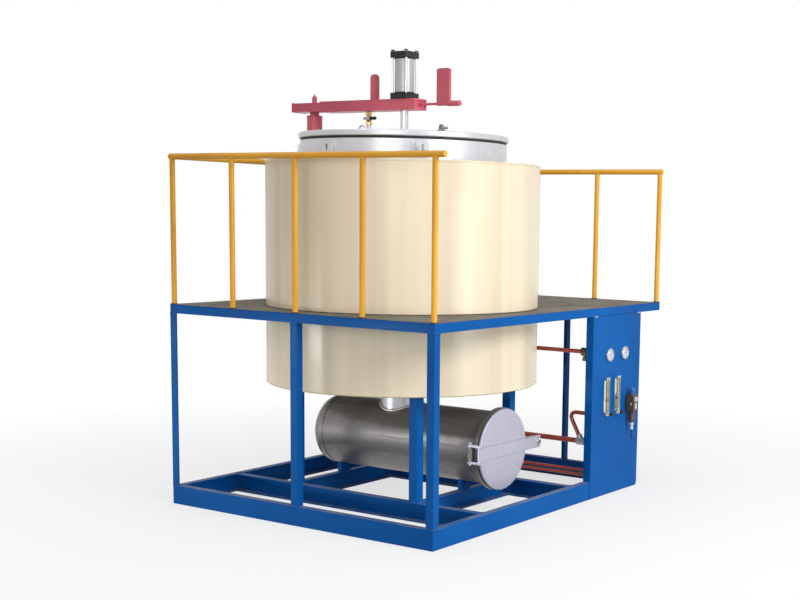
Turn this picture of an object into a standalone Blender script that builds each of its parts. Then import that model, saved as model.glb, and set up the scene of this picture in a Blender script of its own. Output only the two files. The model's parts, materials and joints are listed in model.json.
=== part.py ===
"""Cleaning furnace: a pit furnace in a raised deck, with a swinging lid lift and a waste tank below.

Metres, +Z up. The front, with the tank door and the control panel, faces -Y.
The origin is on the floor, at the middle of the whole object's box.
"""
import math

import bmesh
import bpy
from mathutils import Matrix, Vector

# Clearances
GAP = 0.0003
RUN_GAP = 0.0006
CUT_OVERRUN = 0.02

# Frame
DECK_MARGIN = 0.155
PANEL_BAY = 0.285
DECK_OVERHANG = 0.275
DECK_HEIGHT = 1.23
BASE_HEIGHT = 0.115
BASE_FLANGE = 0.05
BASE_WEB = 0.006
BASE_FLANGE_WALL = 0.008
POST_SIZE = 0.05
POST_WALL = 0.005
MID_RIGHT_POST_PLACE = 0.545
LEG_SIZE = 0.06
LEG_WALL = 0.005
LEG_INSET = 0.117
LEG_BACK_SETBACK = 0.04
DECK_EDGE_HEIGHT = 0.05
DECK_EDGE_FLANGE = 0.04
DECK_EDGE_WALL = 0.005
DECK_PLATE = 0.004
DECK_HOLE_CLEARANCE = 0.005

# Railings
RAIL_HEIGHT = 0.90
RAIL_DIAMETER = 0.036
RAIL_POST_DIAMETER = 0.033
RAIL_WALL = 0.003
RAIL_INSET = 0.0185
RAIL_FRONT_OVERHANG = 0.045
RAIL_FIRST_POST = 0.0185
RAIL_POST_COUNT = 5

# Furnace
JACKET_THICKNESS = 0.285
SHELL_WALL = 0.004
SHELL_BOTTOM = 0.76
SHELL_HEIGHT = 1.34
TOP_PLATE = 0.006
COLLAR_REACH = 0.075
COLLAR_HEIGHT = 0.128
COLLAR_WALL = 0.008
COLLAR_FLANGE = 0.024
LUG_COUNT = 6
LUG_START = -29.8
LUG_SPREAD = 51.43
LUG_WIDTH = 0.075
LUG_HEIGHT = 0.070
LUG_REACH = 0.03
LUG_PLACE = 0.016
LUG_SLOT_WIDTH = 0.016
LUG_SLOT_HEIGHT = 0.034
LUG_SLOT_DEPTH = 0.018
SEAL_HEIGHT = 0.014
SEAL_WIDTH = 0.03
SEAL_INSET = 0.003
LID_OVERHANG = 0.01
LID_THICKNESS = 0.034
LID_EDGE_ROUND = 0.005
LID_PLATE = 0.008
LID_RIM = 0.11
LID_LINING_SETBACK = 0.003
RETORT_DIAMETER = 1.12
RETORT_WALL = 0.008
RETORT_RISE = 0.14
RETORT_FLANGE = 0.035
HEATER_CLEARANCE = 0.045
HEATER_DEPTH = 0.022
HEATER_RIB = 0.010
HEATER_RIB_COUNT = 4
HEATER_START = 0.26
HEATER_END = 0.12
INSULATION_FLOOR = 0.09
INSULATION_CLEARANCE = 0.006
NECK_DIAMETER = 0.27
NECK_WALL = 0.005
NECK_CLEARANCE = 0.004
RELIEF_RADIUS_SHARE = 0.86
RELIEF_TURN = -119.0
RELIEF_BODY_DIAMETER = 0.030
RELIEF_NUT_DIAMETER = 0.044
RELIEF_NUT_HEIGHT = 0.012
RELIEF_HEIGHT = 0.042
RELIEF_OUTLET_DIAMETER = 0.014
RELIEF_OUTLET_LENGTH = 0.04

# Lid lift
COLUMN_STANDOFF = 0.10
COLUMN_DIAMETER = 0.10
COLUMN_NECK_LENGTH = 0.016
COLUMN_NECK_DIAMETER = 0.06
COLUMN_FOOT_DIAMETER = 0.17
COLUMN_FOOT_HEIGHT = 0.012
PIVOT_DIAMETER = 0.032
PIVOT_RISE = 0.044
ARM_RISE = 0.1534
ARM_HEIGHT = 0.067
ARM_WIDTH = 0.12
ARM_WALL = 0.006
ARM_PLATE = 0.006
ARM_PLATE_SETBACK = 0.095
ARM_FRONT_REACH = 0.125
ARM_BACK_REACH = 0.13
ARM_END_PLATE = 0.012
ARM_END_MARGIN = 0.002
ARM_BUSH_INSET = 0.012
ARM_BUSH_LENGTH = 0.012
TAB_PLACE = 0.235
TAB_WIDTH = 0.066
TAB_THICKNESS = 0.02
TAB_HEIGHT = 0.16
TAB_ROUND = 0.026
CAP_WIDTH = 0.132
CAP_CORNER = 0.012
BASE_CAP_HEIGHT = 0.036
BARREL_DIAMETER = 0.120
BARREL_WALL = 0.005
BARREL_LENGTH = 0.21
HEAD_HEIGHT = 0.038
TIE_ROD_DIAMETER = 0.012
TIE_ROD_PLACE = 0.051
TIE_NUT_DIAMETER = 0.024
TIE_NUT_HEIGHT = 0.010
ROD_DIAMETER = 0.05
ROD_FOOT_DIAMETER = 0.14
ROD_FOOT_HEIGHT = 0.028
PISTON_HEIGHT = 0.03
PISTON_START = 0.02
LEVER_SHAFT_DIAMETER = 0.016
LEVER_SHAFT_INNER = 0.03
LEVER_PLATE_START = 0.128
LEVER_PLATE_WIDTH = 0.095
LEVER_PLATE_THICKNESS = 0.02
LEVER_PLATE_HEIGHT = 0.222
LEVER_PLATE_HEEL = 0.013
LEVER_PLATE_ROUND = 0.012
LEVER_GRIP_DIAMETER = 0.034
LEVER_GRIP_LENGTH = 0.074

# Valve on the lid
PURGE_SIDE = 0.155
PURGE_INSET = 0.233
PURGE_PIPE_DIAMETER = 0.030
PURGE_PIPE_TOP = 0.180
PURGE_FOOT_DIAMETER = 0.052
PURGE_FOOT_HEIGHT = 0.010
PURGE_BODY_DIAMETER = 0.044
PURGE_BODY_START = 0.092
PURGE_BODY_HEIGHT = 0.060
PURGE_STEM_DIAMETER = 0.012
PURGE_STEM_LENGTH = 0.016
PURGE_LEVER_THICKNESS = 0.005
PURGE_LEVER_WIDTH = 0.018
PURGE_LEVER_LENGTH = 0.085
PURGE_GRIP_DIAMETER = 0.022
PURGE_GRIP_LENGTH = 0.045

# Waste tank
TANK_DIAMETER = 0.446
TANK_CLEARANCE = 0.031
TANK_WALL = 0.006
TANK_FRONT = 0.246
TANK_BACK_CLEARANCE = 0.489
TANK_DISH = 0.11
TANK_FLANGE_REACH = 0.029
TANK_FLANGE = 0.022
SADDLE_WIDTH = 0.09
SADDLE_THICKNESS = 0.03
SEAL_RING_WIDTH = 0.022
SEAL_RING_THICKNESS = 0.008
DOOR_INSET = 0.005
DOOR_THICKNESS = 0.014
DOOR_EDGE_ROUND = 0.003
BAR_HEIGHT = 0.075
BAR_THICKNESS = 0.012
BAR_OVERHANG = 0.144
HINGE_OUTSET = 0.016
HINGE_BACK = 0.036
HINGE_PIN_DIAMETER = 0.016
HINGE_PIN_LENGTH = 0.134
HINGE_HEAD_DIAMETER = 0.026
HINGE_HEAD_HEIGHT = 0.006
HINGE_EYE_DIAMETER = 0.036
STRAP_HEIGHT = 0.014
STRAP_PLACE = 0.044
HINGE_LUG_HEIGHT = 0.07
STRAP_WIDTH = 0.012
BAR_HEAD_WIDTH = 0.014
BAR_HEAD_MARGIN = 0.001
LATCH_LUG_WIDTH = 0.13
LATCH_LUG_HEIGHT = 0.06
LATCH_LUG_THICKNESS = 0.016
LATCH_LUG_SETBACK = 0.002
BOLT_DIAMETER = 0.014
BOLT_HEAD_DIAMETER = 0.028
BOLT_HEAD_LENGTH = 0.012
BOLT_WING_LENGTH = 0.05
BOLT_WING_DIAMETER = 0.010
BOLT_PLACE = 0.026

# Control panel
PANEL_WIDTH = 0.625
PANEL_SHEET = 0.003
PANEL_RETURN = 0.05
PANEL_CORNER = 0.02
PANEL_FOOT = 0.004
GAUGE_DIAMETER = 0.086
GAUGE_DEPTH = 0.018
GAUGE_RIM = 0.006
GAUGE_STEP = 0.004
GAUGE_PLACES = (0.198, 0.395)
GAUGE_DROP = 0.308
FLOW_WIDTH = 0.042
FLOW_DEPTH = 0.022
FLOW_LENGTH = 0.250
FLOW_DROP = 0.703
FLOW_PLACES = (0.172, 0.312)
FLOW_EDGE = 0.003
FLOW_KNOB_DIAMETER = 0.022
FLOW_KNOB_LENGTH = 0.034
FLOW_KNOB_PLACE = 0.014
REG_PLACE = 0.458
REG_WIDTH = 0.062
REG_DEPTH = 0.062
REG_BLOCK_HEIGHT = 0.120
REG_DROP = 0.705
REG_BRACKET_DEPTH = 0.012
REG_BRACKET_WIDTH = 0.05
REG_BOWL_DIAMETER = 0.044
REG_BOWL_LENGTH = 0.070
REG_DRAIN_DIAMETER = 0.024
REG_DRAIN_LENGTH = 0.050
REG_TUBE_DIAMETER = 0.008
REG_TUBE_LENGTH = 0.06
REG_CORNER = 0.006
REG_KNOB_DIAMETER = 0.046
REG_KNOB_HEIGHT = 0.036

# Pipes
PIPE_LINE = 0.062
FURNACE_PIPE_DIAMETER = 0.027
FURNACE_PIPE_RISE = 0.185
PIPE_UNION_DIAMETER = 0.044
PIPE_UNION_LENGTH = 0.040
PIPE_UNION_PLACE = 0.095
TANK_PIPE_DIAMETER = 0.034
TANK_PIPE_HEIGHT = 0.365
TANK_PIPE_TURN_PLACE = 0.75
TANK_PIPE_BEND = 0.06
BRANCH_DIAMETER = 0.026
BRANCH_HEIGHT = 0.548
BRANCH_BACK = 0.205
BRANCH_FOOT = 0.105
BRANCH_BEND = 0.03
TEE_DIAMETER = 0.05
TEE_LENGTH = 0.06
WATER_PIPE_DIAMETER = 0.020
WATER_HIGH = 0.175
WATER_LOW = 0.145
WATER_RISER_INSET = 0.15
WATER_RISER_PLACE = 0.55
WATER_LOW_TURN_PLACE = 0.95
WATER_LOW_SIDE = 0.45
WATER_LOW_RISE = 0.32
WATER_BEND = 0.03

# Roundness
BIG_SIDES = 72
MID_SIDES = 40
SMALL_SIDES = 20
TINY_SIDES = 12
BEND_STEPS = 4

# Places worked out from the sizes above
FRONT_REACH = PANEL_SHEET + REG_BRACKET_DEPTH + REG_DEPTH + GAP * 2
SHELL_DIAMETER = RETORT_DIAMETER + JACKET_THICKNESS * 2
SHELL_TOP = SHELL_BOTTOM + SHELL_HEIGHT
COLLAR_DIAMETER = RETORT_DIAMETER + COLLAR_REACH * 2
COLLAR_TOP = SHELL_TOP + COLLAR_HEIGHT
LID_DIAMETER = COLLAR_DIAMETER + LID_OVERHANG * 2
PURGE_BACK = LID_DIAMETER / 2 - PURGE_INSET
RETORT_BOTTOM = SHELL_BOTTOM + RETORT_RISE
HEATER_BOTTOM = SHELL_BOTTOM + HEATER_START
HEATER_TOP = SHELL_TOP - HEATER_END
FRAME_DEPTH = SHELL_DIAMETER + DECK_MARGIN * 2
BASE_WIDTH = FRAME_DEPTH + PANEL_BAY
DECK_WIDTH = BASE_WIDTH + DECK_OVERHANG
X_LEFT = -DECK_WIDTH / 2
X_RIGHT = DECK_WIDTH / 2
X_BASE = X_LEFT + BASE_WIDTH
Y_FRONT = -(FRAME_DEPTH - FRONT_REACH) / 2
Y_BACK = Y_FRONT + FRAME_DEPTH
FURNACE_X = X_LEFT + FRAME_DEPTH / 2
FURNACE_Y = Y_FRONT + FRAME_DEPTH / 2
SHELL_RADIUS = SHELL_DIAMETER / 2
LEG_OFFSET = (SHELL_RADIUS - LEG_INSET) / math.sqrt(2) - LEG_SIZE / 2
LEG_BACK_OFFSET = LEG_OFFSET - LEG_BACK_SETBACK
DECK_UNDER = DECK_HEIGHT - DECK_PLATE - GAP
DECK_FRAME_BOTTOM = DECK_UNDER - DECK_EDGE_HEIGHT
POST_BOTTOM = BASE_HEIGHT + GAP
POST_TOP = DECK_FRAME_BOTTOM - GAP
TOP_PLATE_TOP = SHELL_TOP + TOP_PLATE
SEAL_TOP = COLLAR_TOP + GAP + SEAL_HEIGHT
LID_BOTTOM = SEAL_TOP + GAP
LID_TOP = LID_BOTTOM + LID_THICKNESS
COLUMN_OFFSET = COLLAR_DIAMETER / 2 + COLUMN_STANDOFF
COLUMN_Y = FURNACE_Y + COLUMN_OFFSET
ARM_BOTTOM = LID_TOP + ARM_RISE
ARM_TOP = ARM_BOTTOM + ARM_HEIGHT
COLUMN_TOP = ARM_BOTTOM - COLUMN_NECK_LENGTH
PIVOT_TOP = ARM_TOP + PIVOT_RISE
ARM_PLATE_LENGTH = COLUMN_OFFSET + ARM_FRONT_REACH - ARM_PLATE_SETBACK
ARM_CORE_BOTTOM = ARM_BOTTOM + ARM_PLATE
ARM_CORE_TOP = ARM_TOP - ARM_PLATE
ARM_MIDDLE = (ARM_BOTTOM + ARM_TOP) / 2
ARM_FRONT = FURNACE_Y - ARM_FRONT_REACH
ARM_BACK = COLUMN_Y + ARM_BACK_REACH
TANK_FLANGE_DIAMETER = TANK_DIAMETER + TANK_FLANGE_REACH * 2
TANK_HEIGHT = BASE_HEIGHT + TANK_CLEARANCE + TANK_FLANGE_DIAMETER / 2
DOOR_DIAMETER = TANK_FLANGE_DIAMETER - DOOR_INSET * 2
HINGE_SIDE = TANK_FLANGE_DIAMETER / 2 + HINGE_OUTSET
BAR_RIGHT_REACH = TANK_FLANGE_DIAMETER / 2 + BAR_OVERHANG
TANK_FRONT_Y = Y_FRONT + TANK_FRONT
TANK_STRAIGHT = FRAME_DEPTH - TANK_FRONT - TANK_BACK_CLEARANCE
SEAL_RING_FRONT = TANK_FRONT_Y - GAP - SEAL_RING_THICKNESS
DOOR_FRONT = SEAL_RING_FRONT - GAP - DOOR_THICKNESS
BAR_FRONT = DOOR_FRONT - GAP - BAR_THICKNESS
HINGE_X = FURNACE_X - HINGE_SIDE
HINGE_Y = TANK_FRONT_Y + HINGE_BACK
GAUGE_HEIGHT = DECK_HEIGHT - GAUGE_DROP
FLOW_BOTTOM = DECK_HEIGHT - FLOW_DROP
REG_BLOCK_BOTTOM = DECK_HEIGHT - REG_DROP
FURNACE_PIPE_HEIGHT = SHELL_BOTTOM + FURNACE_PIPE_RISE
PANEL_LEFT = X_BASE - PANEL_WIDTH
PANEL_BACK = Y_FRONT - GAP
PANEL_FACE = PANEL_BACK - PANEL_SHEET
PIPE_X = PANEL_LEFT + PIPE_LINE


def clear_scene():
    for old in list(bpy.data.objects):
        bpy.data.objects.remove(old, do_unlink=True)


def paint(name, colour, roughness, metallic=0.0):
    """A plain material in the part's own colour, shared by the pieces that have the same finish."""
    if name in bpy.data.materials:
        return bpy.data.materials[name]
    material = bpy.data.materials.new(name)
    material.use_nodes = True
    shader = material.node_tree.nodes["Principled BSDF"]
    shader.inputs["Base Color"].default_value = (*colour, 1.0)
    shader.inputs["Roughness"].default_value = roughness
    shader.inputs["Metallic"].default_value = metallic
    return material


def blue_paint():
    return paint("blue_paint", (0.01, 0.12, 0.50), 0.4)


def deck_paint():
    return paint("deck_paint", (0.22, 0.20, 0.19), 0.8)


def yellow_paint():
    return paint("yellow_paint", (0.85, 0.42, 0.03), 0.4)


def cream_paint():
    return paint("cream_paint", (0.85, 0.77, 0.58), 0.3)


def red_paint():
    return paint("red_paint", (0.42, 0.05, 0.07), 0.45)


def pipe_paint():
    return paint("pipe_paint", (0.42, 0.07, 0.04), 0.5)


def stainless():
    return paint("stainless", (0.72, 0.72, 0.74), 0.3, 1.0)


def tank_steel():
    return paint("tank_steel", (0.24, 0.23, 0.23), 0.45, 0.8)


def door_steel():
    return paint("door_steel", (0.62, 0.62, 0.70), 0.35, 0.6)


def aluminium():
    return paint("aluminium", (0.75, 0.75, 0.76), 0.25, 1.0)


def black_cap():
    return paint("black_cap", (0.02, 0.02, 0.025), 0.4)


def black_rubber():
    return paint("black_rubber", (0.015, 0.015, 0.015), 0.7)


def brass():
    return paint("brass", (0.65, 0.48, 0.15), 0.3, 1.0)


def chrome():
    return paint("chrome", (0.85, 0.85, 0.86), 0.1, 1.0)


def fibre():
    return paint("fibre", (0.80, 0.78, 0.72), 0.95)


def heat_alloy():
    return paint("heat_alloy", (0.30, 0.27, 0.25), 0.6, 0.7)


def clear_plastic():
    return paint("clear_plastic", (0.75, 0.74, 0.68), 0.15)


def white_dial():
    return paint("white_dial", (0.85, 0.85, 0.85), 0.35)


def regulator_metal():
    return paint("regulator_metal", (0.20, 0.16, 0.15), 0.4)


def finished(name, bm, material, place=None):
    """Turns the mesh into the named object, with its faces out and its round sides smooth."""
    bmesh.ops.remove_doubles(bm, verts=bm.verts, dist=GAP / 100)
    bmesh.ops.recalc_face_normals(bm, faces=bm.faces)
    mesh = bpy.data.meshes.new(name)
    bm.to_mesh(mesh)
    bm.free()
    mesh.shade_smooth()
    mesh.set_sharp_from_angle(angle=math.radians(32))
    mesh.materials.append(material)
    made = bpy.data.objects.new(name, mesh)
    bpy.context.scene.collection.objects.link(made)
    if place is not None:
        mesh.transform(Matrix.Translation(-Vector(place)))
        made.location = place
    return made


def together(shapes):
    """Several shapes held in one mesh."""
    held = bmesh.new()
    for shape in shapes:
        mesh = bpy.data.meshes.new("helper")
        shape.to_mesh(mesh)
        shape.free()
        held.from_mesh(mesh)
        bpy.data.meshes.remove(mesh)
    return held


def cut_or_join(made, shapes, operation):
    """Cuts the shapes out of the object, or joins them on, and keeps the object's name and place."""
    bm = together(shapes)
    bmesh.ops.recalc_face_normals(bm, faces=bm.faces)
    mesh = bpy.data.meshes.new("helper")
    bm.to_mesh(mesh)
    bm.free()
    helper = bpy.data.objects.new("helper", mesh)
    helper.hide_render = True
    helper.display_type = "WIRE"
    bpy.context.scene.collection.objects.link(helper)
    modifier = made.modifiers.new("shape", "BOOLEAN")
    modifier.operation = operation
    modifier.solver = "EXACT"
    modifier.use_self = len(shapes) > 1
    modifier.object = helper
    graph = bpy.context.evaluated_depsgraph_get()
    result = bpy.data.meshes.new_from_object(made.evaluated_get(graph))
    made.modifiers.clear()
    material = made.data.materials[0]
    made.data = result
    made.data.materials.clear()
    made.data.materials.append(material)
    made.data.shade_smooth()
    made.data.set_sharp_from_angle(angle=math.radians(32))
    bpy.data.objects.remove(helper, do_unlink=True)
    return made


def join(made, *shapes):
    return cut_or_join(made, shapes, "UNION")


def cut(made, *shapes):
    return cut_or_join(made, shapes, "DIFFERENCE")


def block(low, high, bm=None):
    """A box between two corners."""
    bm = bm or bmesh.new()
    low, high = Vector(low), Vector(high)
    middle = (low + high) / 2
    size = high - low
    place = Matrix.Translation(middle) @ Matrix.Diagonal((*size, 1.0))
    bmesh.ops.create_cube(bm, size=1.0, matrix=place)
    return bm


def loops_to_mesh(loops, closed):
    """Joins equal loops of points, one after the other. A closed run joins the last to the first."""
    bm = bmesh.new()
    rings = [[bm.verts.new(point) for point in loop] for loop in loops]
    count = len(rings[0])
    pairs = list(zip(rings, rings[1:]))
    if closed:
        pairs.append((rings[-1], rings[0]))
    else:
        bm.faces.new(list(reversed(rings[0])))
        bm.faces.new(rings[-1])
    for first, second in pairs:
        for side in range(count):
            after = (side + 1) % count
            bm.faces.new((first[side], first[after], second[after], second[side]))
    return bm


def channel_frame(low, high, height, flange, web, flange_wall):
    """Four channels mitred into a rectangle, with their webs outside and their flanges inwards."""
    profile = (
        (0, 0),
        (0, height),
        (flange, height),
        (flange, height - flange_wall),
        (web, height - flange_wall),
        (web, flange_wall),
        (flange, flange_wall),
        (flange, 0),
    )
    loops = []
    for inset, rise in profile:
        left, front = low[0] + inset, low[1] + inset
        right, back = high[0] - inset, high[1] - inset
        z = low[2] + rise
        loops.append([(left, front, z), (right, front, z), (right, back, z), (left, back, z)])
    return loops_to_mesh(loops, True)


def channel(start, end, across, height, flange, web, flange_wall):
    """A straight channel. across points from the web to the open side."""
    start, end, across = Vector(start), Vector(end), Vector(across)
    up = Vector((0, 0, 1))
    profile = (
        (0, 0),
        (flange, 0),
        (flange, flange_wall),
        (web, flange_wall),
        (web, height - flange_wall),
        (flange, height - flange_wall),
        (flange, height),
        (0, height),
    )
    loops = [[point + across * a + up * b for a, b in profile] for point in (start, end)]
    return loops_to_mesh(loops, False)


def angle_post(x, y, x_side, y_side, size, wall, bottom, top):
    """An upright angle section with its outer corner at x, y and its two sides towards x_side and y_side."""
    outline = (
        (x, y),
        (x + x_side * size, y),
        (x + x_side * size, y + y_side * wall),
        (x + x_side * wall, y + y_side * wall),
        (x + x_side * wall, y + y_side * size),
        (x, y + y_side * size),
    )
    return plate(outline, bottom, top, "Z")


def square_tube(x, y, size, wall, bottom, top):
    """An upright square tube, open at both ends."""
    loops = []
    for half, z in (
        (size / 2, bottom),
        (size / 2, top),
        (size / 2 - wall, top),
        (size / 2 - wall, bottom),
    ):
        loops.append([(x - half, y - half, z), (x + half, y - half, z), (x + half, y + half, z), (x - half, y + half, z)])
    return loops_to_mesh(loops, True)


def turned(profile, sides, centre=(0, 0, 0), axis="Z"):
    """A closed turned shape. The profile holds (radius, place along the axis) and may touch the axis."""
    bm = bmesh.new()
    rings = []
    for radius, along in profile:
        if radius == 0:
            rings.append([bm.verts.new((0, 0, along))])
            continue
        ring = []
        for side in range(sides):
            turn = 2 * math.pi * side / sides
            ring.append(bm.verts.new((radius * math.cos(turn), radius * math.sin(turn), along)))
        rings.append(ring)
    for first, second in zip(rings, rings[1:] + rings[:1]):
        for side in range(sides):
            after = (side + 1) % sides
            if len(first) == 1 and len(second) == 1:
                continue
            if len(first) == 1:
                bm.faces.new((first[0], second[after], second[side]))
            elif len(second) == 1:
                bm.faces.new((first[side], first[after], second[0]))
            else:
                bm.faces.new((first[side], first[after], second[after], second[side]))
    lay = {"Z": Matrix(), "Y": Matrix.Rotation(-math.pi / 2, 4, "X"), "X": Matrix.Rotation(math.pi / 2, 4, "Y")}[axis]
    bmesh.ops.transform(bm, matrix=Matrix.Translation(Vector(centre)) @ lay, verts=bm.verts)
    return bm


def rod(start, end, radius, sides):
    """A round bar between two points."""
    start, end = Vector(start), Vector(end)
    length = (end - start).length
    bm = turned(((0, 0), (radius, 0), (radius, length), (0, length)), sides)
    turn = Vector((0, 0, 1)).rotation_difference(end - start).to_matrix().to_4x4()
    bmesh.ops.transform(bm, matrix=Matrix.Translation(start) @ turn, verts=bm.verts)
    return bm


def plate(outline, start, end, axis):
    """A flat plate: the outline's points lie across the axis, and it runs from start to end along it."""
    loops = []
    for along in (start, end):
        if axis == "X":
            loops.append([(along, a, b) for a, b in outline])
        elif axis == "Y":
            loops.append([(a, along, b) for a, b in outline])
        else:
            loops.append([(a, b, along) for a, b in outline])
    return loops_to_mesh(loops, False)


def rounded_outline(left, right, bottom, top, rounds):
    """A rectangle's outline with a radius at each corner: bottom right, top right, top left, bottom left."""
    corners = (
        (right, bottom, -1, 1, -90),
        (right, top, -1, -1, 0),
        (left, top, 1, -1, 90),
        (left, bottom, 1, 1, 180),
    )
    points = []
    for (a, b, inward_a, inward_b, begin), radius in zip(corners, rounds):
        if radius == 0:
            points.append((a, b))
            continue
        for step in range(BEND_STEPS + 1):
            turn = math.radians(begin + 90 * step / BEND_STEPS)
            middle = (a + inward_a * radius, b + inward_b * radius)
            points.append((middle[0] + radius * math.cos(turn), middle[1] + radius * math.sin(turn)))
    return points


def eye_outline(eye, radius, foot, half_width):
    """A strap's outline: round at the eye, straight and narrower down to its foot."""
    eye, foot = Vector(eye), Vector(foot)
    ahead = (foot - eye).normalized()
    across = Vector((-ahead.y, ahead.x))
    begin = math.asin(half_width / radius)
    steps = SMALL_SIDES
    points = []
    for step in range(steps + 1):
        turn = begin + (2 * math.pi - begin * 2) * step / steps
        points.append(tuple(eye + ahead * radius * math.cos(turn) + across * radius * math.sin(turn)))
    points.append(tuple(foot - across * half_width))
    points.append(tuple(foot + across * half_width))
    return points


def bent_route(corners, bend):
    """The corners of a pipe's run, with each one rounded by an elbow of the given radius."""
    corners = [Vector(corner) for corner in corners]
    route = [corners[0]]
    for before, corner, after in zip(corners, corners[1:], corners[2:]):
        into = (corner - before).normalized()
        out = (after - corner).normalized()
        angle = into.angle(out)
        back = bend * math.tan(angle / 2)
        side = (out - into * into.dot(out)).normalized()
        start = corner - into * back
        for step in range(BEND_STEPS + 1):
            turn = angle * step / BEND_STEPS
            route.append(start + into * bend * math.sin(turn) + side * bend * (1 - math.cos(turn)))
    route.append(corners[-1])
    return route


def swept(route, radius, sides):
    """A round bar along a route, with square ends."""
    loops = []
    facing = None
    for place, point in enumerate(route):
        before = route[max(place - 1, 0)]
        after = route[min(place + 1, len(route) - 1)]
        ahead = (after - before).normalized()
        if facing is None:
            facing = ahead.orthogonal().normalized()
        facing = (facing - ahead * facing.dot(ahead)).normalized()
        across = ahead.cross(facing)
        loop = []
        for side in range(sides):
            turn = 2 * math.pi * side / sides
            loop.append(point + facing * radius * math.cos(turn) + across * radius * math.sin(turn))
        loops.append(loop)
    return loops_to_mesh(loops, False)


def make_base():
    low = (X_LEFT, Y_FRONT, 0)
    high = (X_BASE, Y_BACK, 0)
    section = (BASE_HEIGHT, BASE_FLANGE, BASE_WEB, BASE_FLANGE_WALL)
    finished("base_frame", channel_frame(low, high, *section), blue_paint())
    web_side = LEG_OFFSET - BASE_FLANGE / 2
    front = Y_FRONT + BASE_FLANGE + GAP
    back = Y_BACK - BASE_FLANGE - GAP
    for name, side in (("left", -1), ("right", 1)):
        x = FURNACE_X + side * LEG_OFFSET + BASE_FLANGE / 2
        bm = channel((x, front, 0), (x, back, 0), (-1, 0, 0), *section)
        finished("base_joist_" + name, bm, blue_paint())
    left = FURNACE_X - web_side + GAP
    right = FURNACE_X + web_side - GAP
    for name, side in (("front", -1), ("back", 1)):
        y = FURNACE_Y + side * LEG_OFFSET + BASE_FLANGE / 2
        bm = channel((left, y, 0), (right, y, 0), (0, -1, 0), *section)
        finished("base_cross_" + name, bm, blue_paint())


def make_posts():
    places = {
        "post_front_left": (X_LEFT, Y_FRONT, 1, 1),
        "post_mid_left": (X_LEFT, FURNACE_Y - POST_SIZE / 2, 1, 1),
        "post_back_left": (X_LEFT, Y_BACK, 1, -1),
        "post_back_right": (X_BASE, Y_BACK, -1, -1),
        "post_mid_right": (X_BASE, Y_FRONT + MID_RIGHT_POST_PLACE, -1, 1),
        "post_front_right": (X_BASE, Y_FRONT, -1, 1),
    }
    for name, corner in places.items():
        finished(name, angle_post(*corner, POST_SIZE, POST_WALL, POST_BOTTOM, POST_TOP), blue_paint())
    for front_name, y in (("front", FURNACE_Y - LEG_OFFSET), ("back", FURNACE_Y + LEG_BACK_OFFSET)):
        for side_name, x_side in (("left", -1), ("right", 1)):
            x = FURNACE_X + x_side * LEG_OFFSET
            bm = square_tube(x, y, LEG_SIZE, LEG_WALL, POST_BOTTOM, SHELL_BOTTOM - GAP)
            finished("furnace_leg_" + front_name + "_" + side_name, bm, blue_paint())


def make_deck():
    section = (DECK_EDGE_HEIGHT, DECK_EDGE_FLANGE, DECK_EDGE_WALL, DECK_EDGE_WALL)
    low = (X_LEFT, Y_FRONT, DECK_FRAME_BOTTOM)
    high = (X_RIGHT, Y_BACK, DECK_FRAME_BOTTOM)
    finished("deck_frame", channel_frame(low, high, *section), blue_paint())
    start = (X_BASE, Y_FRONT + DECK_EDGE_FLANGE + GAP, DECK_FRAME_BOTTOM)
    end = (X_BASE, Y_BACK - DECK_EDGE_FLANGE - GAP, DECK_FRAME_BOTTOM)
    joist = channel(start, end, (-1, 0, 0), DECK_EDGE_HEIGHT, POST_SIZE, DECK_EDGE_WALL, DECK_EDGE_WALL)
    finished("deck_joist", joist, blue_paint())
    sheet = block((X_LEFT, Y_FRONT, DECK_HEIGHT - DECK_PLATE), (X_RIGHT, Y_BACK, DECK_HEIGHT))
    made = finished("deck_plate", sheet, deck_paint())
    hole = SHELL_RADIUS + DECK_HOLE_CLEARANCE
    cutter = (
        (FURNACE_X, FURNACE_Y, DECK_HEIGHT - DECK_PLATE - CUT_OVERRUN),
        (FURNACE_X, FURNACE_Y, DECK_HEIGHT + CUT_OVERRUN),
    )
    cut(made, rod(*cutter, hole, BIG_SIDES))


def make_railing(name, start, end, post_places, open_ends):
    """A tube rail with its posts, welded into one piece. The posts' places are points along the rail."""
    start, end = Vector(start), Vector(end)
    along = (end - start).normalized()
    foot = DECK_HEIGHT + GAP
    made = finished(name, rod(start, end, RAIL_DIAMETER / 2, TINY_SIDES), yellow_paint())
    bore_start = start - along * (CUT_OVERRUN if open_ends[0] else -RAIL_WALL)
    bore_end = end + along * (CUT_OVERRUN if open_ends[1] else -RAIL_WALL)
    posts = []
    bores = [rod(bore_start, bore_end, RAIL_DIAMETER / 2 - RAIL_WALL, TINY_SIDES)]
    for place in post_places:
        top = start + along * place
        posts.append(rod((top.x, top.y, foot), top, RAIL_POST_DIAMETER / 2, TINY_SIDES))
        low = (top.x, top.y, foot - CUT_OVERRUN)
        bores.append(rod(low, top, RAIL_POST_DIAMETER / 2 - RAIL_WALL, TINY_SIDES))
    join(made, *posts)
    cut(made, *bores)
    return made


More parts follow.
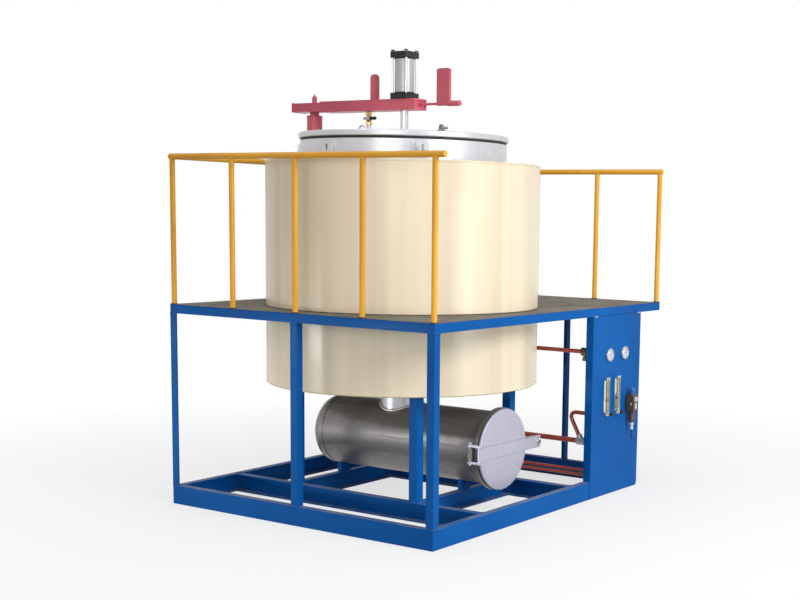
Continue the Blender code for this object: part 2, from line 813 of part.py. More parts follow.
def make_railings():
    z = DECK_HEIGHT + RAIL_HEIGHT - RAIL_DIAMETER / 2
    x_left = X_LEFT + RAIL_INSET
    x_right = X_RIGHT - RAIL_INSET
    y_back = Y_BACK - RAIL_INSET
    y_end = y_back + RAIL_DIAMETER / 2
    pitch = (FRAME_DEPTH - RAIL_FIRST_POST - RAIL_INSET) / (RAIL_POST_COUNT - 1)
    places = [RAIL_FIRST_POST + pitch * count for count in range(RAIL_POST_COUNT)]
    left_places = [place + RAIL_FRONT_OVERHANG for place in places]
    make_railing("railing_left", (x_left, Y_FRONT - RAIL_FRONT_OVERHANG, z), (x_left, y_end, z), left_places, (True, True))
    make_railing("railing_right", (x_right, Y_FRONT, z), (x_right, y_end, z), places, (True, True))
    begin = x_left + RAIL_DIAMETER / 2 + GAP
    finish = x_right - RAIL_DIAMETER / 2 - GAP
    middle = [(finish - begin) / 2]
    make_railing("railing_back", (begin, y_back, z), (finish, y_back, z), middle, (True, True))


def ring(inner, outer, bottom, top):
    return ((outer, bottom), (outer, top), (inner, top), (inner, bottom))


def make_shell():
    centre = (FURNACE_X, FURNACE_Y, 0)
    radius = SHELL_RADIUS
    hole = NECK_DIAMETER / 2 + NECK_CLEARANCE
    profile = (
        (hole, SHELL_BOTTOM),
        (radius, SHELL_BOTTOM),
        (radius, SHELL_TOP - GAP),
        (radius - SHELL_WALL, SHELL_TOP - GAP),
        (radius - SHELL_WALL, SHELL_BOTTOM + SHELL_WALL),
        (hole, SHELL_BOTTOM + SHELL_WALL),
    )
    finished("furnace_shell", turned(profile, BIG_SIDES, centre), cream_paint())
    retort = RETORT_DIAMETER / 2
    top_ring = ring(retort + INSULATION_CLEARANCE, radius, SHELL_TOP, TOP_PLATE_TOP)
    finished("shell_top_plate", turned(top_ring, BIG_SIDES, centre), cream_paint())
    outer = radius - SHELL_WALL - GAP
    inner = retort + HEATER_CLEARANCE + HEATER_DEPTH + GAP
    bottom = SHELL_BOTTOM + SHELL_WALL + GAP
    lining = (
        (hole, bottom),
        (outer, bottom),
        (outer, SHELL_TOP - GAP),
        (inner, SHELL_TOP - GAP),
        (inner, bottom + INSULATION_FLOOR),
        (hole, bottom + INSULATION_FLOOR),
    )
    finished("insulation", turned(lining, BIG_SIDES, centre), fibre())
    make_heater(centre, retort + HEATER_CLEARANCE)


def make_heater(centre, inner):
    """A ribbed element sleeve held against the lining."""
    outer = inner + HEATER_DEPTH
    profile = [(outer, HEATER_BOTTOM), (outer, HEATER_TOP), (inner + HEATER_RIB, HEATER_TOP)]
    pitch = (HEATER_TOP - HEATER_BOTTOM) / HEATER_RIB_COUNT
    for count in range(HEATER_RIB_COUNT):
        top = HEATER_TOP - pitch * count
        profile.append((inner, top - pitch / 2))
        profile.append((inner + HEATER_RIB, top - pitch))
    finished("heater", turned(profile, BIG_SIDES, centre), heat_alloy())


def make_retort():
    centre = (FURNACE_X, FURNACE_Y, 0)
    outer = RETORT_DIAMETER / 2
    inner = outer - RETORT_WALL
    flange = outer + RETORT_FLANGE
    drain = NECK_DIAMETER / 2 - NECK_WALL
    flange_bottom = TOP_PLATE_TOP + GAP
    profile = (
        (drain, RETORT_BOTTOM),
        (outer, RETORT_BOTTOM),
        (outer, flange_bottom),
        (flange, flange_bottom),
        (flange, flange_bottom + RETORT_WALL),
        (inner, flange_bottom + RETORT_WALL),
        (inner, RETORT_BOTTOM + RETORT_WALL),
        (drain, RETORT_BOTTOM + RETORT_WALL),
    )
    finished("retort", turned(profile, MID_SIDES, centre), stainless())
    neck_outer = NECK_DIAMETER / 2
    tank_top = TANK_HEIGHT + TANK_DIAMETER / 2 - NECK_DIAMETER / 4
    neck = ring(neck_outer - NECK_WALL, neck_outer, tank_top, RETORT_BOTTOM - GAP)
    made = finished("drain_neck", turned(neck, MID_SIDES, centre), stainless())
    saddle = TANK_DIAMETER / 2 + GAP
    front = FURNACE_Y - NECK_DIAMETER
    back = FURNACE_Y + NECK_DIAMETER
    cut(made, rod((FURNACE_X, front, TANK_HEIGHT), (FURNACE_X, back, TANK_HEIGHT), saddle, MID_SIDES * 2))


def make_collar():
    centre = (FURNACE_X, FURNACE_Y, 0)
    outer = COLLAR_DIAMETER / 2
    flange = RETORT_DIAMETER / 2 + RETORT_FLANGE
    inner = RETORT_DIAMETER / 2 - RETORT_WALL
    foot = TOP_PLATE_TOP + GAP
    shelf = foot + RETORT_WALL + GAP
    profile = (
        (outer, foot),
        (outer, COLLAR_TOP),
        (inner, COLLAR_TOP),
        (inner, shelf),
        (inner + COLLAR_WALL, shelf),
        (inner + COLLAR_WALL, COLLAR_TOP - COLLAR_FLANGE),
        (outer - COLLAR_WALL, COLLAR_TOP - COLLAR_FLANGE),
        (outer - COLLAR_WALL, foot),
    )
    assert outer - COLLAR_WALL > flange
    made = finished("collar", turned(profile, BIG_SIDES, centre), stainless())
    top = COLLAR_TOP - LUG_PLACE
    middle = top - LUG_HEIGHT / 2
    lugs, slots = [], []
    for count in range(LUG_COUNT):
        turn = Matrix.Translation(centre) @ Matrix.Rotation(math.radians(LUG_START + LUG_SPREAD * count), 4, "Z")
        low = (outer - COLLAR_WALL / 2, -LUG_WIDTH / 2, top - LUG_HEIGHT)
        high = (outer + LUG_REACH, LUG_WIDTH / 2, top)
        lugs.append(block(low, high))
        low = (outer + LUG_REACH - LUG_SLOT_DEPTH, -LUG_SLOT_WIDTH / 2, middle - LUG_SLOT_HEIGHT / 2)
        high = (outer + LUG_REACH + CUT_OVERRUN, LUG_SLOT_WIDTH / 2, middle + LUG_SLOT_HEIGHT / 2)
        slots.append(block(low, high))
        for shape in (lugs[-1], slots[-1]):
            bmesh.ops.transform(shape, matrix=turn, verts=shape.verts)
    join(made, *lugs)
    cut(made, *slots)


def make_lid():
    centre = (FURNACE_X, FURNACE_Y, 0)
    seal_outer = COLLAR_DIAMETER / 2 - SEAL_INSET
    seal = ring(seal_outer - SEAL_WIDTH, seal_outer, COLLAR_TOP + GAP, SEAL_TOP)
    finished("lid_seal", turned(seal, BIG_SIDES, centre), black_rubber())
    radius = LID_DIAMETER / 2
    recess = radius - LID_RIM
    recess_top = LID_TOP - LID_PLATE
    profile = (
        (0, recess_top),
        (recess, recess_top),
        (recess, LID_BOTTOM),
        (radius - LID_EDGE_ROUND, LID_BOTTOM),
        (radius, LID_BOTTOM + LID_EDGE_ROUND),
        (radius, LID_TOP - LID_EDGE_ROUND),
        (radius - LID_EDGE_ROUND, LID_TOP),
        (0, LID_TOP),
    )
    finished("furnace_lid", turned(profile, BIG_SIDES, centre), stainless())
    low = (FURNACE_X, FURNACE_Y, LID_BOTTOM + LID_LINING_SETBACK)
    high = (FURNACE_X, FURNACE_Y, recess_top - GAP)
    finished("lid_lining", rod(low, high, recess - GAP, BIG_SIDES), fibre())
    turn = math.radians(RELIEF_TURN)
    reach = radius * RELIEF_RADIUS_SHARE
    x = FURNACE_X + reach * math.cos(turn)
    y = FURNACE_Y + reach * math.sin(turn)
    foot = LID_TOP + GAP
    top = foot + RELIEF_HEIGHT
    profile = (
        (0, foot),
        (RELIEF_NUT_DIAMETER / 2, foot),
        (RELIEF_NUT_DIAMETER / 2, foot + RELIEF_NUT_HEIGHT),
        (RELIEF_BODY_DIAMETER / 2, foot + RELIEF_NUT_HEIGHT),
        (RELIEF_BODY_DIAMETER / 2, top),
        (0, top),
    )
    made = finished("relief_valve", turned(profile, TINY_SIDES, (x, y, 0)), brass())
    outlet_z = foot + (RELIEF_NUT_HEIGHT + RELIEF_HEIGHT) / 2
    out = Vector((math.sin(turn), -math.cos(turn), 0)) * -RELIEF_OUTLET_LENGTH
    start = Vector((x, y, outlet_z))
    join(made, rod(start, start + out, RELIEF_OUTLET_DIAMETER / 2, TINY_SIDES))


def make_column():
    centre = (FURNACE_X, COLUMN_Y, 0)
    foot = TOP_PLATE_TOP + GAP
    top = PIVOT_TOP
    round_start = top - PIVOT_DIAMETER / 2
    profile = [
        (0, foot),
        (COLUMN_FOOT_DIAMETER / 2, foot),
        (COLUMN_FOOT_DIAMETER / 2, foot + COLUMN_FOOT_HEIGHT),
        (COLUMN_DIAMETER / 2, foot + COLUMN_FOOT_HEIGHT),
        (COLUMN_DIAMETER / 2, COLUMN_TOP),
        (COLUMN_NECK_DIAMETER / 2, COLUMN_TOP),
        (COLUMN_NECK_DIAMETER / 2, ARM_CORE_BOTTOM - GAP),
        (PIVOT_DIAMETER / 2, ARM_CORE_BOTTOM - GAP),
    ]
    for step in range(BEND_STEPS):
        turn = math.pi / 2 * step / BEND_STEPS
        profile.append((PIVOT_DIAMETER / 2 * math.cos(turn), round_start + PIVOT_DIAMETER / 2 * math.sin(turn)))
    profile.append((0, top))
    finished("pivot_column", turned(profile, SMALL_SIDES, centre), red_paint())


def make_arm():
    half = ARM_WIDTH / 2
    left, right = FURNACE_X - half, FURNACE_X + half
    loops = []
    for inset, y in ((0, ARM_FRONT), (0, ARM_BACK), (ARM_WALL, ARM_BACK), (ARM_WALL, ARM_FRONT)):
        low, high = ARM_CORE_BOTTOM + inset, ARM_CORE_TOP - inset
        near, far = left + inset, right - inset
        loops.append([(near, y, low), (far, y, low), (far, y, high), (near, y, high)])
    pivot = (FURNACE_X, COLUMN_Y, 0)
    made = finished("lift_arm", loops_to_mesh(loops, True), red_paint())
    plate_back = ARM_FRONT + ARM_PLATE_LENGTH
    join(made, block((left, ARM_FRONT, ARM_BOTTOM), (right, plate_back, ARM_CORE_BOTTOM + ARM_WALL / 2)))
    join(made, block((left, ARM_FRONT, ARM_CORE_TOP - ARM_WALL / 2), (right, plate_back, ARM_TOP)))
    end_low = (left - ARM_END_MARGIN, ARM_BACK - ARM_WALL / 2, ARM_CORE_BOTTOM - ARM_END_MARGIN)
    end_high = (right + ARM_END_MARGIN, ARM_BACK + ARM_END_PLATE, ARM_CORE_TOP + ARM_END_MARGIN)
    join(made, block(end_low, end_high))
    bush_front = ARM_FRONT + ARM_BUSH_INSET
    bush_low = (left + ARM_WALL / 2, bush_front, ARM_CORE_BOTTOM + ARM_WALL / 2)
    bush_high = (right - ARM_WALL / 2, bush_front + ARM_BUSH_LENGTH, ARM_CORE_TOP - ARM_WALL / 2)
    join(made, block(bush_low, bush_high))
    tab_y = FURNACE_Y + TAB_PLACE
    tab_left, tab_right = FURNACE_X - TAB_WIDTH / 2, FURNACE_X + TAB_WIDTH / 2
    outline = rounded_outline(tab_left, tab_right, ARM_TOP - ARM_PLATE / 2, ARM_TOP + TAB_HEIGHT, (0, TAB_ROUND, TAB_ROUND, 0))
    join(made, plate(outline, tab_y - TAB_THICKNESS / 2, tab_y + TAB_THICKNESS / 2, "Y"))
    for y, diameter in ((COLUMN_Y, PIVOT_DIAMETER), (FURNACE_Y, ROD_DIAMETER)):
        low = (FURNACE_X, y, ARM_BOTTOM - CUT_OVERRUN)
        high = (FURNACE_X, y, ARM_TOP + CUT_OVERRUN)
        cut(made, rod(low, high, diameter / 2 + RUN_GAP, SMALL_SIDES))
    start = (FURNACE_X, ARM_FRONT - CUT_OVERRUN, ARM_MIDDLE)
    end = (FURNACE_X, bush_front + ARM_BUSH_LENGTH + CUT_OVERRUN / 2, ARM_MIDDLE)
    cut(made, rod(start, end, LEVER_SHAFT_DIAMETER / 2 + RUN_GAP, SMALL_SIDES))
    made.data.transform(Matrix.Translation(-Vector(pivot)))
    made.location = pivot


def cap_outline():
    half = CAP_WIDTH / 2
    corners = (CAP_CORNER,) * 4
    return rounded_outline(FURNACE_X - half, FURNACE_X + half, FURNACE_Y - half, FURNACE_Y + half, corners)


def make_cylinder():
    centre = (FURNACE_X, FURNACE_Y, 0)
    base_bottom = ARM_TOP + GAP
    base_top = base_bottom + BASE_CAP_HEIGHT
    made = finished("cylinder_base", plate(cap_outline(), base_bottom, base_top, "Z"), black_cap())
    low = (FURNACE_X, FURNACE_Y, base_bottom - CUT_OVERRUN)
    high = (FURNACE_X, FURNACE_Y, base_top + CUT_OVERRUN)
    cut(made, rod(low, high, ROD_DIAMETER / 2 + RUN_GAP, SMALL_SIDES))
    barrel_bottom = base_top + GAP
    barrel_top = barrel_bottom + BARREL_LENGTH
    outer = BARREL_DIAMETER / 2
    profile = ring(outer - BARREL_WALL, outer, barrel_bottom, barrel_top)
    finished("cylinder_barrel", turned(profile, MID_SIDES, centre), aluminium())
    head_bottom = barrel_top + GAP
    head_top = head_bottom + HEAD_HEIGHT
    made = finished("cylinder_head", plate(cap_outline(), head_bottom, head_top, "Z"), black_cap())
    for x_side in (-1, 1):
        for y_side in (-1, 1):
            x = FURNACE_X + x_side * TIE_ROD_PLACE
            y = FURNACE_Y + y_side * TIE_ROD_PLACE
            join(made, rod((x, y, base_top + GAP), (x, y, head_bottom + HEAD_HEIGHT / 2), TIE_ROD_DIAMETER / 2, TINY_SIDES))
            nut = rod((x, y, head_top - HEAD_HEIGHT / 4), (x, y, head_top + TIE_NUT_HEIGHT), TIE_NUT_DIAMETER / 2, 6)
            join(made, nut)
    foot = LID_TOP + GAP
    piston_bottom = barrel_bottom + PISTON_START
    profile = (
        (0, foot),
        (ROD_FOOT_DIAMETER / 2, foot),
        (ROD_FOOT_DIAMETER / 2, foot + ROD_FOOT_HEIGHT),
        (ROD_DIAMETER / 2, foot + ROD_FOOT_HEIGHT),
        (ROD_DIAMETER / 2, piston_bottom),
        (outer - BARREL_WALL - RUN_GAP, piston_bottom),
        (outer - BARREL_WALL - RUN_GAP, piston_bottom + PISTON_HEIGHT),
        (0, piston_bottom + PISTON_HEIGHT),
    )
    finished("piston_rod", turned(profile, MID_SIDES, centre), chrome())


def make_lever():
    shaft_start = FURNACE_Y - ROD_DIAMETER / 2 - LEVER_SHAFT_INNER
    plate_back = ARM_FRONT - LEVER_PLATE_START
    plate_front = plate_back - LEVER_PLATE_WIDTH
    grip_end = plate_front - LEVER_GRIP_LENGTH
    low = ARM_MIDDLE - LEVER_PLATE_HEEL
    high = low + LEVER_PLATE_HEIGHT
    rounds = (LEVER_PLATE_HEEL / 2, LEVER_PLATE_ROUND, LEVER_PLATE_ROUND, LEVER_PLATE_HEEL / 2)
    outline = rounded_outline(plate_front, plate_back, low, high, rounds)
    half = LEVER_PLATE_THICKNESS / 2
    made = finished("lock_lever", plate(outline, FURNACE_X - half, FURNACE_X + half, "X"), red_paint())
    inside = plate_back - LEVER_PLATE_HEEL
    join(made, rod((FURNACE_X, shaft_start, ARM_MIDDLE), (FURNACE_X, inside, ARM_MIDDLE), LEVER_SHAFT_DIAMETER / 2, TINY_SIDES))
    grip_start = (FURNACE_X, plate_front + LEVER_PLATE_HEEL, ARM_MIDDLE)
    join(made, rod(grip_start, (FURNACE_X, grip_end, ARM_MIDDLE), LEVER_GRIP_DIAMETER / 2, SMALL_SIDES))
    pivot = (FURNACE_X, plate_back, ARM_MIDDLE)
    made.data.transform(Matrix.Translation(-Vector(pivot)))
    made.location = pivot


def make_purge_valve():
    x = FURNACE_X + PURGE_SIDE
    y = FURNACE_Y + PURGE_BACK
    foot = LID_TOP + GAP
    body = foot + PURGE_BODY_START
    profile = (
        (0, foot),
        (PURGE_FOOT_DIAMETER / 2, foot),
        (PURGE_FOOT_DIAMETER / 2, foot + PURGE_FOOT_HEIGHT),
        (PURGE_PIPE_DIAMETER / 2, foot + PURGE_FOOT_HEIGHT),
        (PURGE_PIPE_DIAMETER / 2, body),
        (PURGE_BODY_DIAMETER / 2, body),
        (PURGE_BODY_DIAMETER / 2, body + PURGE_BODY_HEIGHT),
        (PURGE_PIPE_DIAMETER / 2, body + PURGE_BODY_HEIGHT),
        (PURGE_PIPE_DIAMETER / 2, foot + PURGE_PIPE_TOP),
        (0, foot + PURGE_PIPE_TOP),
    )
    made = finished("purge_valve", turned(profile, TINY_SIDES, (x, y, 0)), brass())
    middle = body + PURGE_BODY_HEIGHT / 2
    stem_end = x - PURGE_BODY_DIAMETER / 2 - PURGE_STEM_LENGTH
    join(made, rod((x, y, middle), (stem_end, y, middle), PURGE_STEM_DIAMETER / 2, TINY_SIDES))
    near = stem_end - GAP
    far = near - PURGE_LEVER_THICKNESS
    half = PURGE_LEVER_WIDTH / 2
    outline = rounded_outline(y - PURGE_LEVER_LENGTH, y + half, middle - half, middle + half, (0, half, half, 0))
    lever = finished("purge_lever", plate(outline, far, near, "X"), black_cap())
    grip_x = (near + far) / 2
    start = (grip_x, y - PURGE_LEVER_LENGTH + PURGE_GRIP_LENGTH, middle)
    end = (grip_x, y - PURGE_LEVER_LENGTH - half, middle)
    join(lever, rod(start, end, PURGE_GRIP_DIAMETER / 2, TINY_SIDES))
    pivot = (grip_x, y, middle)
    lever.data.transform(Matrix.Translation(-Vector(pivot)))
    lever.location = pivot


def tank_profile():
    """Outer and inner outline of the tank, from its front flange to the middle of its dished end."""
    outer = TANK_DIAMETER / 2
    inner = outer - TANK_WALL
    flange = TANK_FLANGE_DIAMETER / 2
    profile = [(inner, 0), (flange, 0), (flange, TANK_FLANGE), (outer, TANK_FLANGE)]
    steps = BEND_STEPS + 1
    for step in range(steps):
        turn = math.pi / 2 * step / steps
        profile.append((outer * math.cos(turn), TANK_STRAIGHT + TANK_DISH * math.sin(turn)))
    profile.append((0, TANK_STRAIGHT + TANK_DISH))
    profile.append((0, TANK_STRAIGHT + TANK_DISH - TANK_WALL))
    for step in reversed(range(steps)):
        turn = math.pi / 2 * step / steps
        profile.append((inner * math.cos(turn), TANK_STRAIGHT + (TANK_DISH - TANK_WALL) * math.sin(turn)))
    return profile


def saddle_outline(radius):
    """A block below the tank, hollowed on top to the given radius round the tank's middle."""
    half = SADDLE_WIDTH / 2
    foot = POST_BOTTOM
    reach = math.asin(half / radius)
    points = [(FURNACE_X - half, foot), (FURNACE_X + half, foot)]
    steps = BEND_STEPS * 2
    for step in range(steps + 1):
        turn = reach - 2 * reach * step / steps
        points.append((FURNACE_X + radius * math.sin(turn), TANK_HEIGHT - radius * math.cos(turn)))
    return points


def make_tank():
    centre = (FURNACE_X, TANK_FRONT_Y, TANK_HEIGHT)
    made = finished("waste_tank", turned(tank_profile(), MID_SIDES, centre, "Y"), tank_steel())
    mid_wall = TANK_DIAMETER / 2 - TANK_WALL / 2
    for side in (-1, 1):
        y = FURNACE_Y + side * LEG_OFFSET
        half = SADDLE_THICKNESS / 2
        join(made, plate(saddle_outline(mid_wall), y - half, y + half, "Y"))
    eye = (HINGE_X, HINGE_Y)
    foot = (FURNACE_X - mid_wall + TANK_WALL / 4, HINGE_Y)
    low = TANK_HEIGHT - HINGE_LUG_HEIGHT / 2
    high = TANK_HEIGHT + HINGE_LUG_HEIGHT / 2
    join(made, plate(eye_outline(eye, HINGE_EYE_DIAMETER / 2, foot, HINGE_EYE_DIAMETER / 3), low, high, "Z"))
    bore_low = (HINGE_X, HINGE_Y, low - CUT_OVERRUN)
    bore_high = (HINGE_X, HINGE_Y, high + CUT_OVERRUN)
    cut(made, rod(bore_low, bore_high, HINGE_PIN_DIAMETER / 2 + GAP, SMALL_SIDES))
    latch_x = FURNACE_X + TANK_FLANGE_DIAMETER / 2
    latch_y = TANK_FRONT_Y + LATCH_LUG_SETBACK
    latch_low = (latch_x - TANK_FLANGE, latch_y, TANK_HEIGHT - LATCH_LUG_HEIGHT / 2)
    latch_high = (latch_x + LATCH_LUG_WIDTH, latch_y + LATCH_LUG_THICKNESS, TANK_HEIGHT + LATCH_LUG_HEIGHT / 2)
    join(made, block(latch_low, latch_high))
    neck_low = (FURNACE_X, FURNACE_Y, TANK_HEIGHT)
    neck_high = (FURNACE_X, FURNACE_Y, TANK_HEIGHT + TANK_DIAMETER)
    cut(made, rod(neck_low, neck_high, NECK_DIAMETER / 2 - NECK_WALL, MID_SIDES))


def make_door():
    centre = (FURNACE_X, SEAL_RING_FRONT, TANK_HEIGHT)
    outer = TANK_DIAMETER / 2
    seal = ring(outer - SEAL_RING_WIDTH, outer, 0, SEAL_RING_THICKNESS)
    finished("door_seal", turned(seal, MID_SIDES, centre, "Y"), black_rubber())
    radius = DOOR_DIAMETER / 2
    profile = (
        (0, 0),
        (radius - DOOR_EDGE_ROUND, 0),
        (radius, DOOR_EDGE_ROUND),
        (radius, DOOR_THICKNESS),
        (0, DOOR_THICKNESS),
    )
    place = (FURNACE_X, DOOR_FRONT, TANK_HEIGHT)
    finished("tank_door", turned(profile, MID_SIDES, place, "Y"), door_steel(), (HINGE_X, HINGE_Y, 0))


def bar_outline(right):
    """The clamp bar seen from the front: an upright head at the hinge and a flat arm to the right."""
    half = BAR_HEIGHT / 2
    head = STRAP_PLACE + STRAP_HEIGHT + BAR_HEAD_MARGIN
    head_left = HINGE_X - BAR_HEAD_WIDTH / 2
    head_right = HINGE_X + BAR_HEAD_WIDTH / 2
    middle = TANK_HEIGHT
    return (
        (head_left, middle - head),
        (head_right, middle - head),
        (head_right, middle - half),
        (right, middle - half),
        (right, middle + half),
        (head_right, middle + half),
        (head_right, middle + head),
        (head_left, middle + head),
    )


def make_clamp_bar():
    back = BAR_FRONT + BAR_THICKNESS
    right = FURNACE_X + BAR_RIGHT_REACH
    made = finished("clamp_bar", plate(bar_outline(right), BAR_FRONT, back, "Y"), door_steel())
    eye = (HINGE_X, HINGE_Y)
    foot = (HINGE_X, (BAR_FRONT + back) / 2)
    strap = eye_outline(eye, HINGE_EYE_DIAMETER / 2, foot, STRAP_WIDTH / 2)
    for side in (-1, 1):
        middle = TANK_HEIGHT + side * (STRAP_PLACE + STRAP_HEIGHT / 2)
        low = middle - STRAP_HEIGHT / 2
        high = middle + STRAP_HEIGHT / 2
        join(made, plate(strap, low, high, "Z"))
        bore_low = (HINGE_X, HINGE_Y, low - STRAP_HEIGHT / 2)
        bore_high = (HINGE_X, HINGE_Y, high + STRAP_HEIGHT / 2)
        cut(made, rod(bore_low, bore_high, HINGE_PIN_DIAMETER / 2 + GAP, SMALL_SIDES))
    bolt_x = right - BOLT_PLACE
    start = (bolt_x, BAR_FRONT - CUT_OVERRUN, TANK_HEIGHT)
    end = (bolt_x, back + CUT_OVERRUN, TANK_HEIGHT)
    cut(made, rod(start, end, BOLT_DIAMETER / 2 + RUN_GAP, TINY_SIDES))
    pivot = (HINGE_X, HINGE_Y, TANK_HEIGHT)
    made.data.transform(Matrix.Translation(-Vector(pivot)))
    made.location = pivot
    make_clamp_bolt(bolt_x)
    half = HINGE_PIN_LENGTH / 2
    profile = (
        (0, -half),
        (HINGE_PIN_DIAMETER / 2, -half),
        (HINGE_PIN_DIAMETER / 2, half),
        (HINGE_HEAD_DIAMETER / 2, half),
        (HINGE_HEAD_DIAMETER / 2, half + HINGE_HEAD_HEIGHT),
        (0, half + HINGE_HEAD_HEIGHT),
    )
    finished("hinge_pin", turned(profile, SMALL_SIDES, pivot), chrome())


def make_clamp_bolt(x):
    """A wing bolt through the bar's free end. Its tip stops at the lug on the tank's flange."""
    head_back = BAR_FRONT - GAP
    head_front = head_back - BOLT_HEAD_LENGTH
    tip = TANK_FRONT_Y + LATCH_LUG_SETBACK - GAP
    made = finished("clamp_bolt", rod((x, tip, TANK_HEIGHT), (x, head_front, TANK_HEIGHT), BOLT_DIAMETER / 2, TINY_SIDES), chrome())
    join(made, rod((x, head_back, TANK_HEIGHT), (x, head_front, TANK_HEIGHT), BOLT_HEAD_DIAMETER / 2, TINY_SIDES))
    wing_y = (head_back + head_front) / 2
    half = BOLT_WING_LENGTH / 2
    wing = rod((x, wing_y, TANK_HEIGHT - half), (x, wing_y, TANK_HEIGHT + half), BOLT_WING_DIAMETER / 2, TINY_SIDES)
    join(made, wing)
    pivot = (x, head_back, TANK_HEIGHT)
    made.data.transform(Matrix.Translation(-Vector(pivot)))
    made.location = pivot


def make_panel():
    outline = rounded_outline(PANEL_LEFT, X_BASE, PANEL_FOOT, POST_TOP, (PANEL_CORNER, 0, 0, 0))
    made = finished("control_panel", plate(outline, PANEL_FACE, PANEL_BACK, "Y"), blue_paint())
    low = (PANEL_LEFT, PANEL_BACK - PANEL_SHEET / 2, POST_BOTTOM)
    high = (PANEL_LEFT + PANEL_SHEET, Y_FRONT + PANEL_RETURN, POST_TOP)
    join(made, block(low, high))
    front = PANEL_FACE - GAP
    for name, place in zip(("left", "right"), GAUGE_PLACES):
        x = PANEL_LEFT + place
        outer = GAUGE_DIAMETER / 2
        inner = outer - GAUGE_RIM
        profile = (
            (0, 0),
            (outer, 0),
            (outer, -GAUGE_DEPTH),
            (inner, -GAUGE_DEPTH),
            (inner, GAUGE_STEP - GAUGE_DEPTH),
            (0, GAUGE_STEP - GAUGE_DEPTH),
        )
        finished("gauge_" + name, turned(profile, SMALL_SIDES, (x, front, GAUGE_HEIGHT), "Y"), white_dial())
    for name, place in zip(("left", "right"), FLOW_PLACES):
        make_flowmeter(name, PANEL_LEFT + place, front)
    make_regulator(PANEL_LEFT + REG_PLACE, front)


def make_flowmeter(name, x, front):
    half = FLOW_WIDTH / 2
    outline = rounded_outline(x - half, x + half, FLOW_BOTTOM, FLOW_BOTTOM + FLOW_LENGTH, (FLOW_EDGE,) * 4)
    face = front - FLOW_DEPTH
    finished("flowmeter_" + name, plate(outline, face, front, "Y"), clear_plastic())
    z = FLOW_BOTTOM + FLOW_KNOB_PLACE
    start = (x, face - GAP, z)
    end = (x, face - GAP - FLOW_KNOB_LENGTH, z)
    knob = finished("flow_knob_" + name, rod(start, end, FLOW_KNOB_DIAMETER / 2, SMALL_SIDES), black_cap())
    knob.data.transform(Matrix.Translation(-Vector(start)))
    knob.location = start


def make_regulator(x, front):
    """Filter and regulator in one: a bracket, a block, a bowl with its drain below and a knob on top."""
    back = front - REG_BRACKET_DEPTH
    face = back - REG_DEPTH + GAP
    top = REG_BLOCK_BOTTOM + REG_BLOCK_HEIGHT
    half = REG_WIDTH / 2
    outline = rounded_outline(x - half, x + half, face, back, (REG_CORNER,) * 4)
    made = finished("regulator", plate(outline, REG_BLOCK_BOTTOM, top, "Z"), regulator_metal())
    bracket = REG_BRACKET_WIDTH / 2
    margin = REG_BLOCK_HEIGHT / 4
    join(made, block((x - bracket, back - REG_CORNER, REG_BLOCK_BOTTOM + margin), (x + bracket, front, top - margin)))
    y = (face + back) / 2
    bowl_bottom = REG_BLOCK_BOTTOM - REG_BOWL_LENGTH
    drain_bottom = bowl_bottom - REG_DRAIN_LENGTH
    tube_bottom = drain_bottom - REG_TUBE_LENGTH
    overlap = REG_BLOCK_HEIGHT / 4
    profile = (
        (0, tube_bottom),
        (REG_TUBE_DIAMETER / 2, tube_bottom),
        (REG_TUBE_DIAMETER / 2, drain_bottom),
        (REG_DRAIN_DIAMETER / 2, drain_bottom),
        (REG_DRAIN_DIAMETER / 2, bowl_bottom),
        (REG_BOWL_DIAMETER / 2, bowl_bottom + REG_DRAIN_DIAMETER / 2),
        (REG_BOWL_DIAMETER / 2, REG_BLOCK_BOTTOM + overlap),
        (0, REG_BLOCK_BOTTOM + overlap),
    )
    join(made, turned(profile, SMALL_SIDES, (x, y, 0)))
    foot = (x, y, top + GAP)
    end = (x, y, top + GAP + REG_KNOB_HEIGHT)
    knob = finished("regulator_knob", rod(foot, end, REG_KNOB_DIAMETER / 2, SMALL_SIDES), black_cap())
    knob.data.transform(Matrix.Translation(-Vector(foot)))
    knob.location = foot


def shell_side_at(x):
    """How far in front of the furnace's middle the shell's skin lies at this x."""
    across = x - FURNACE_X
    return math.sqrt(SHELL_RADIUS**2 - across**2)


def make_pipes():
    start_y = Y_FRONT + GAP
    skin = rod((FURNACE_X, FURNACE_Y, SHELL_BOTTOM), (FURNACE_X, FURNACE_Y, SHELL_TOP), SHELL_RADIUS + GAP, BIG_SIDES)
    end_y = FURNACE_Y - shell_side_at(PIPE_X) + SHELL_WALL + FURNACE_PIPE_DIAMETER
    pipe = rod((PIPE_X, start_y, FURNACE_PIPE_HEIGHT), (PIPE_X, end_y, FURNACE_PIPE_HEIGHT), FURNACE_PIPE_DIAMETER / 2, TINY_SIDES)
    made = finished("furnace_pipe", pipe, pipe_paint())
    middle = Y_FRONT + PIPE_UNION_PLACE
    half = PIPE_UNION_LENGTH / 2
    low = (PIPE_X, middle - half, FURNACE_PIPE_HEIGHT)
    high = (PIPE_X, middle + half, FURNACE_PIPE_HEIGHT)
    join(made, rod(low, high, PIPE_UNION_DIAMETER / 2, TINY_SIDES))
    cut(made, skin)
    make_tank_pipe(start_y)
    make_water_pipes(start_y)


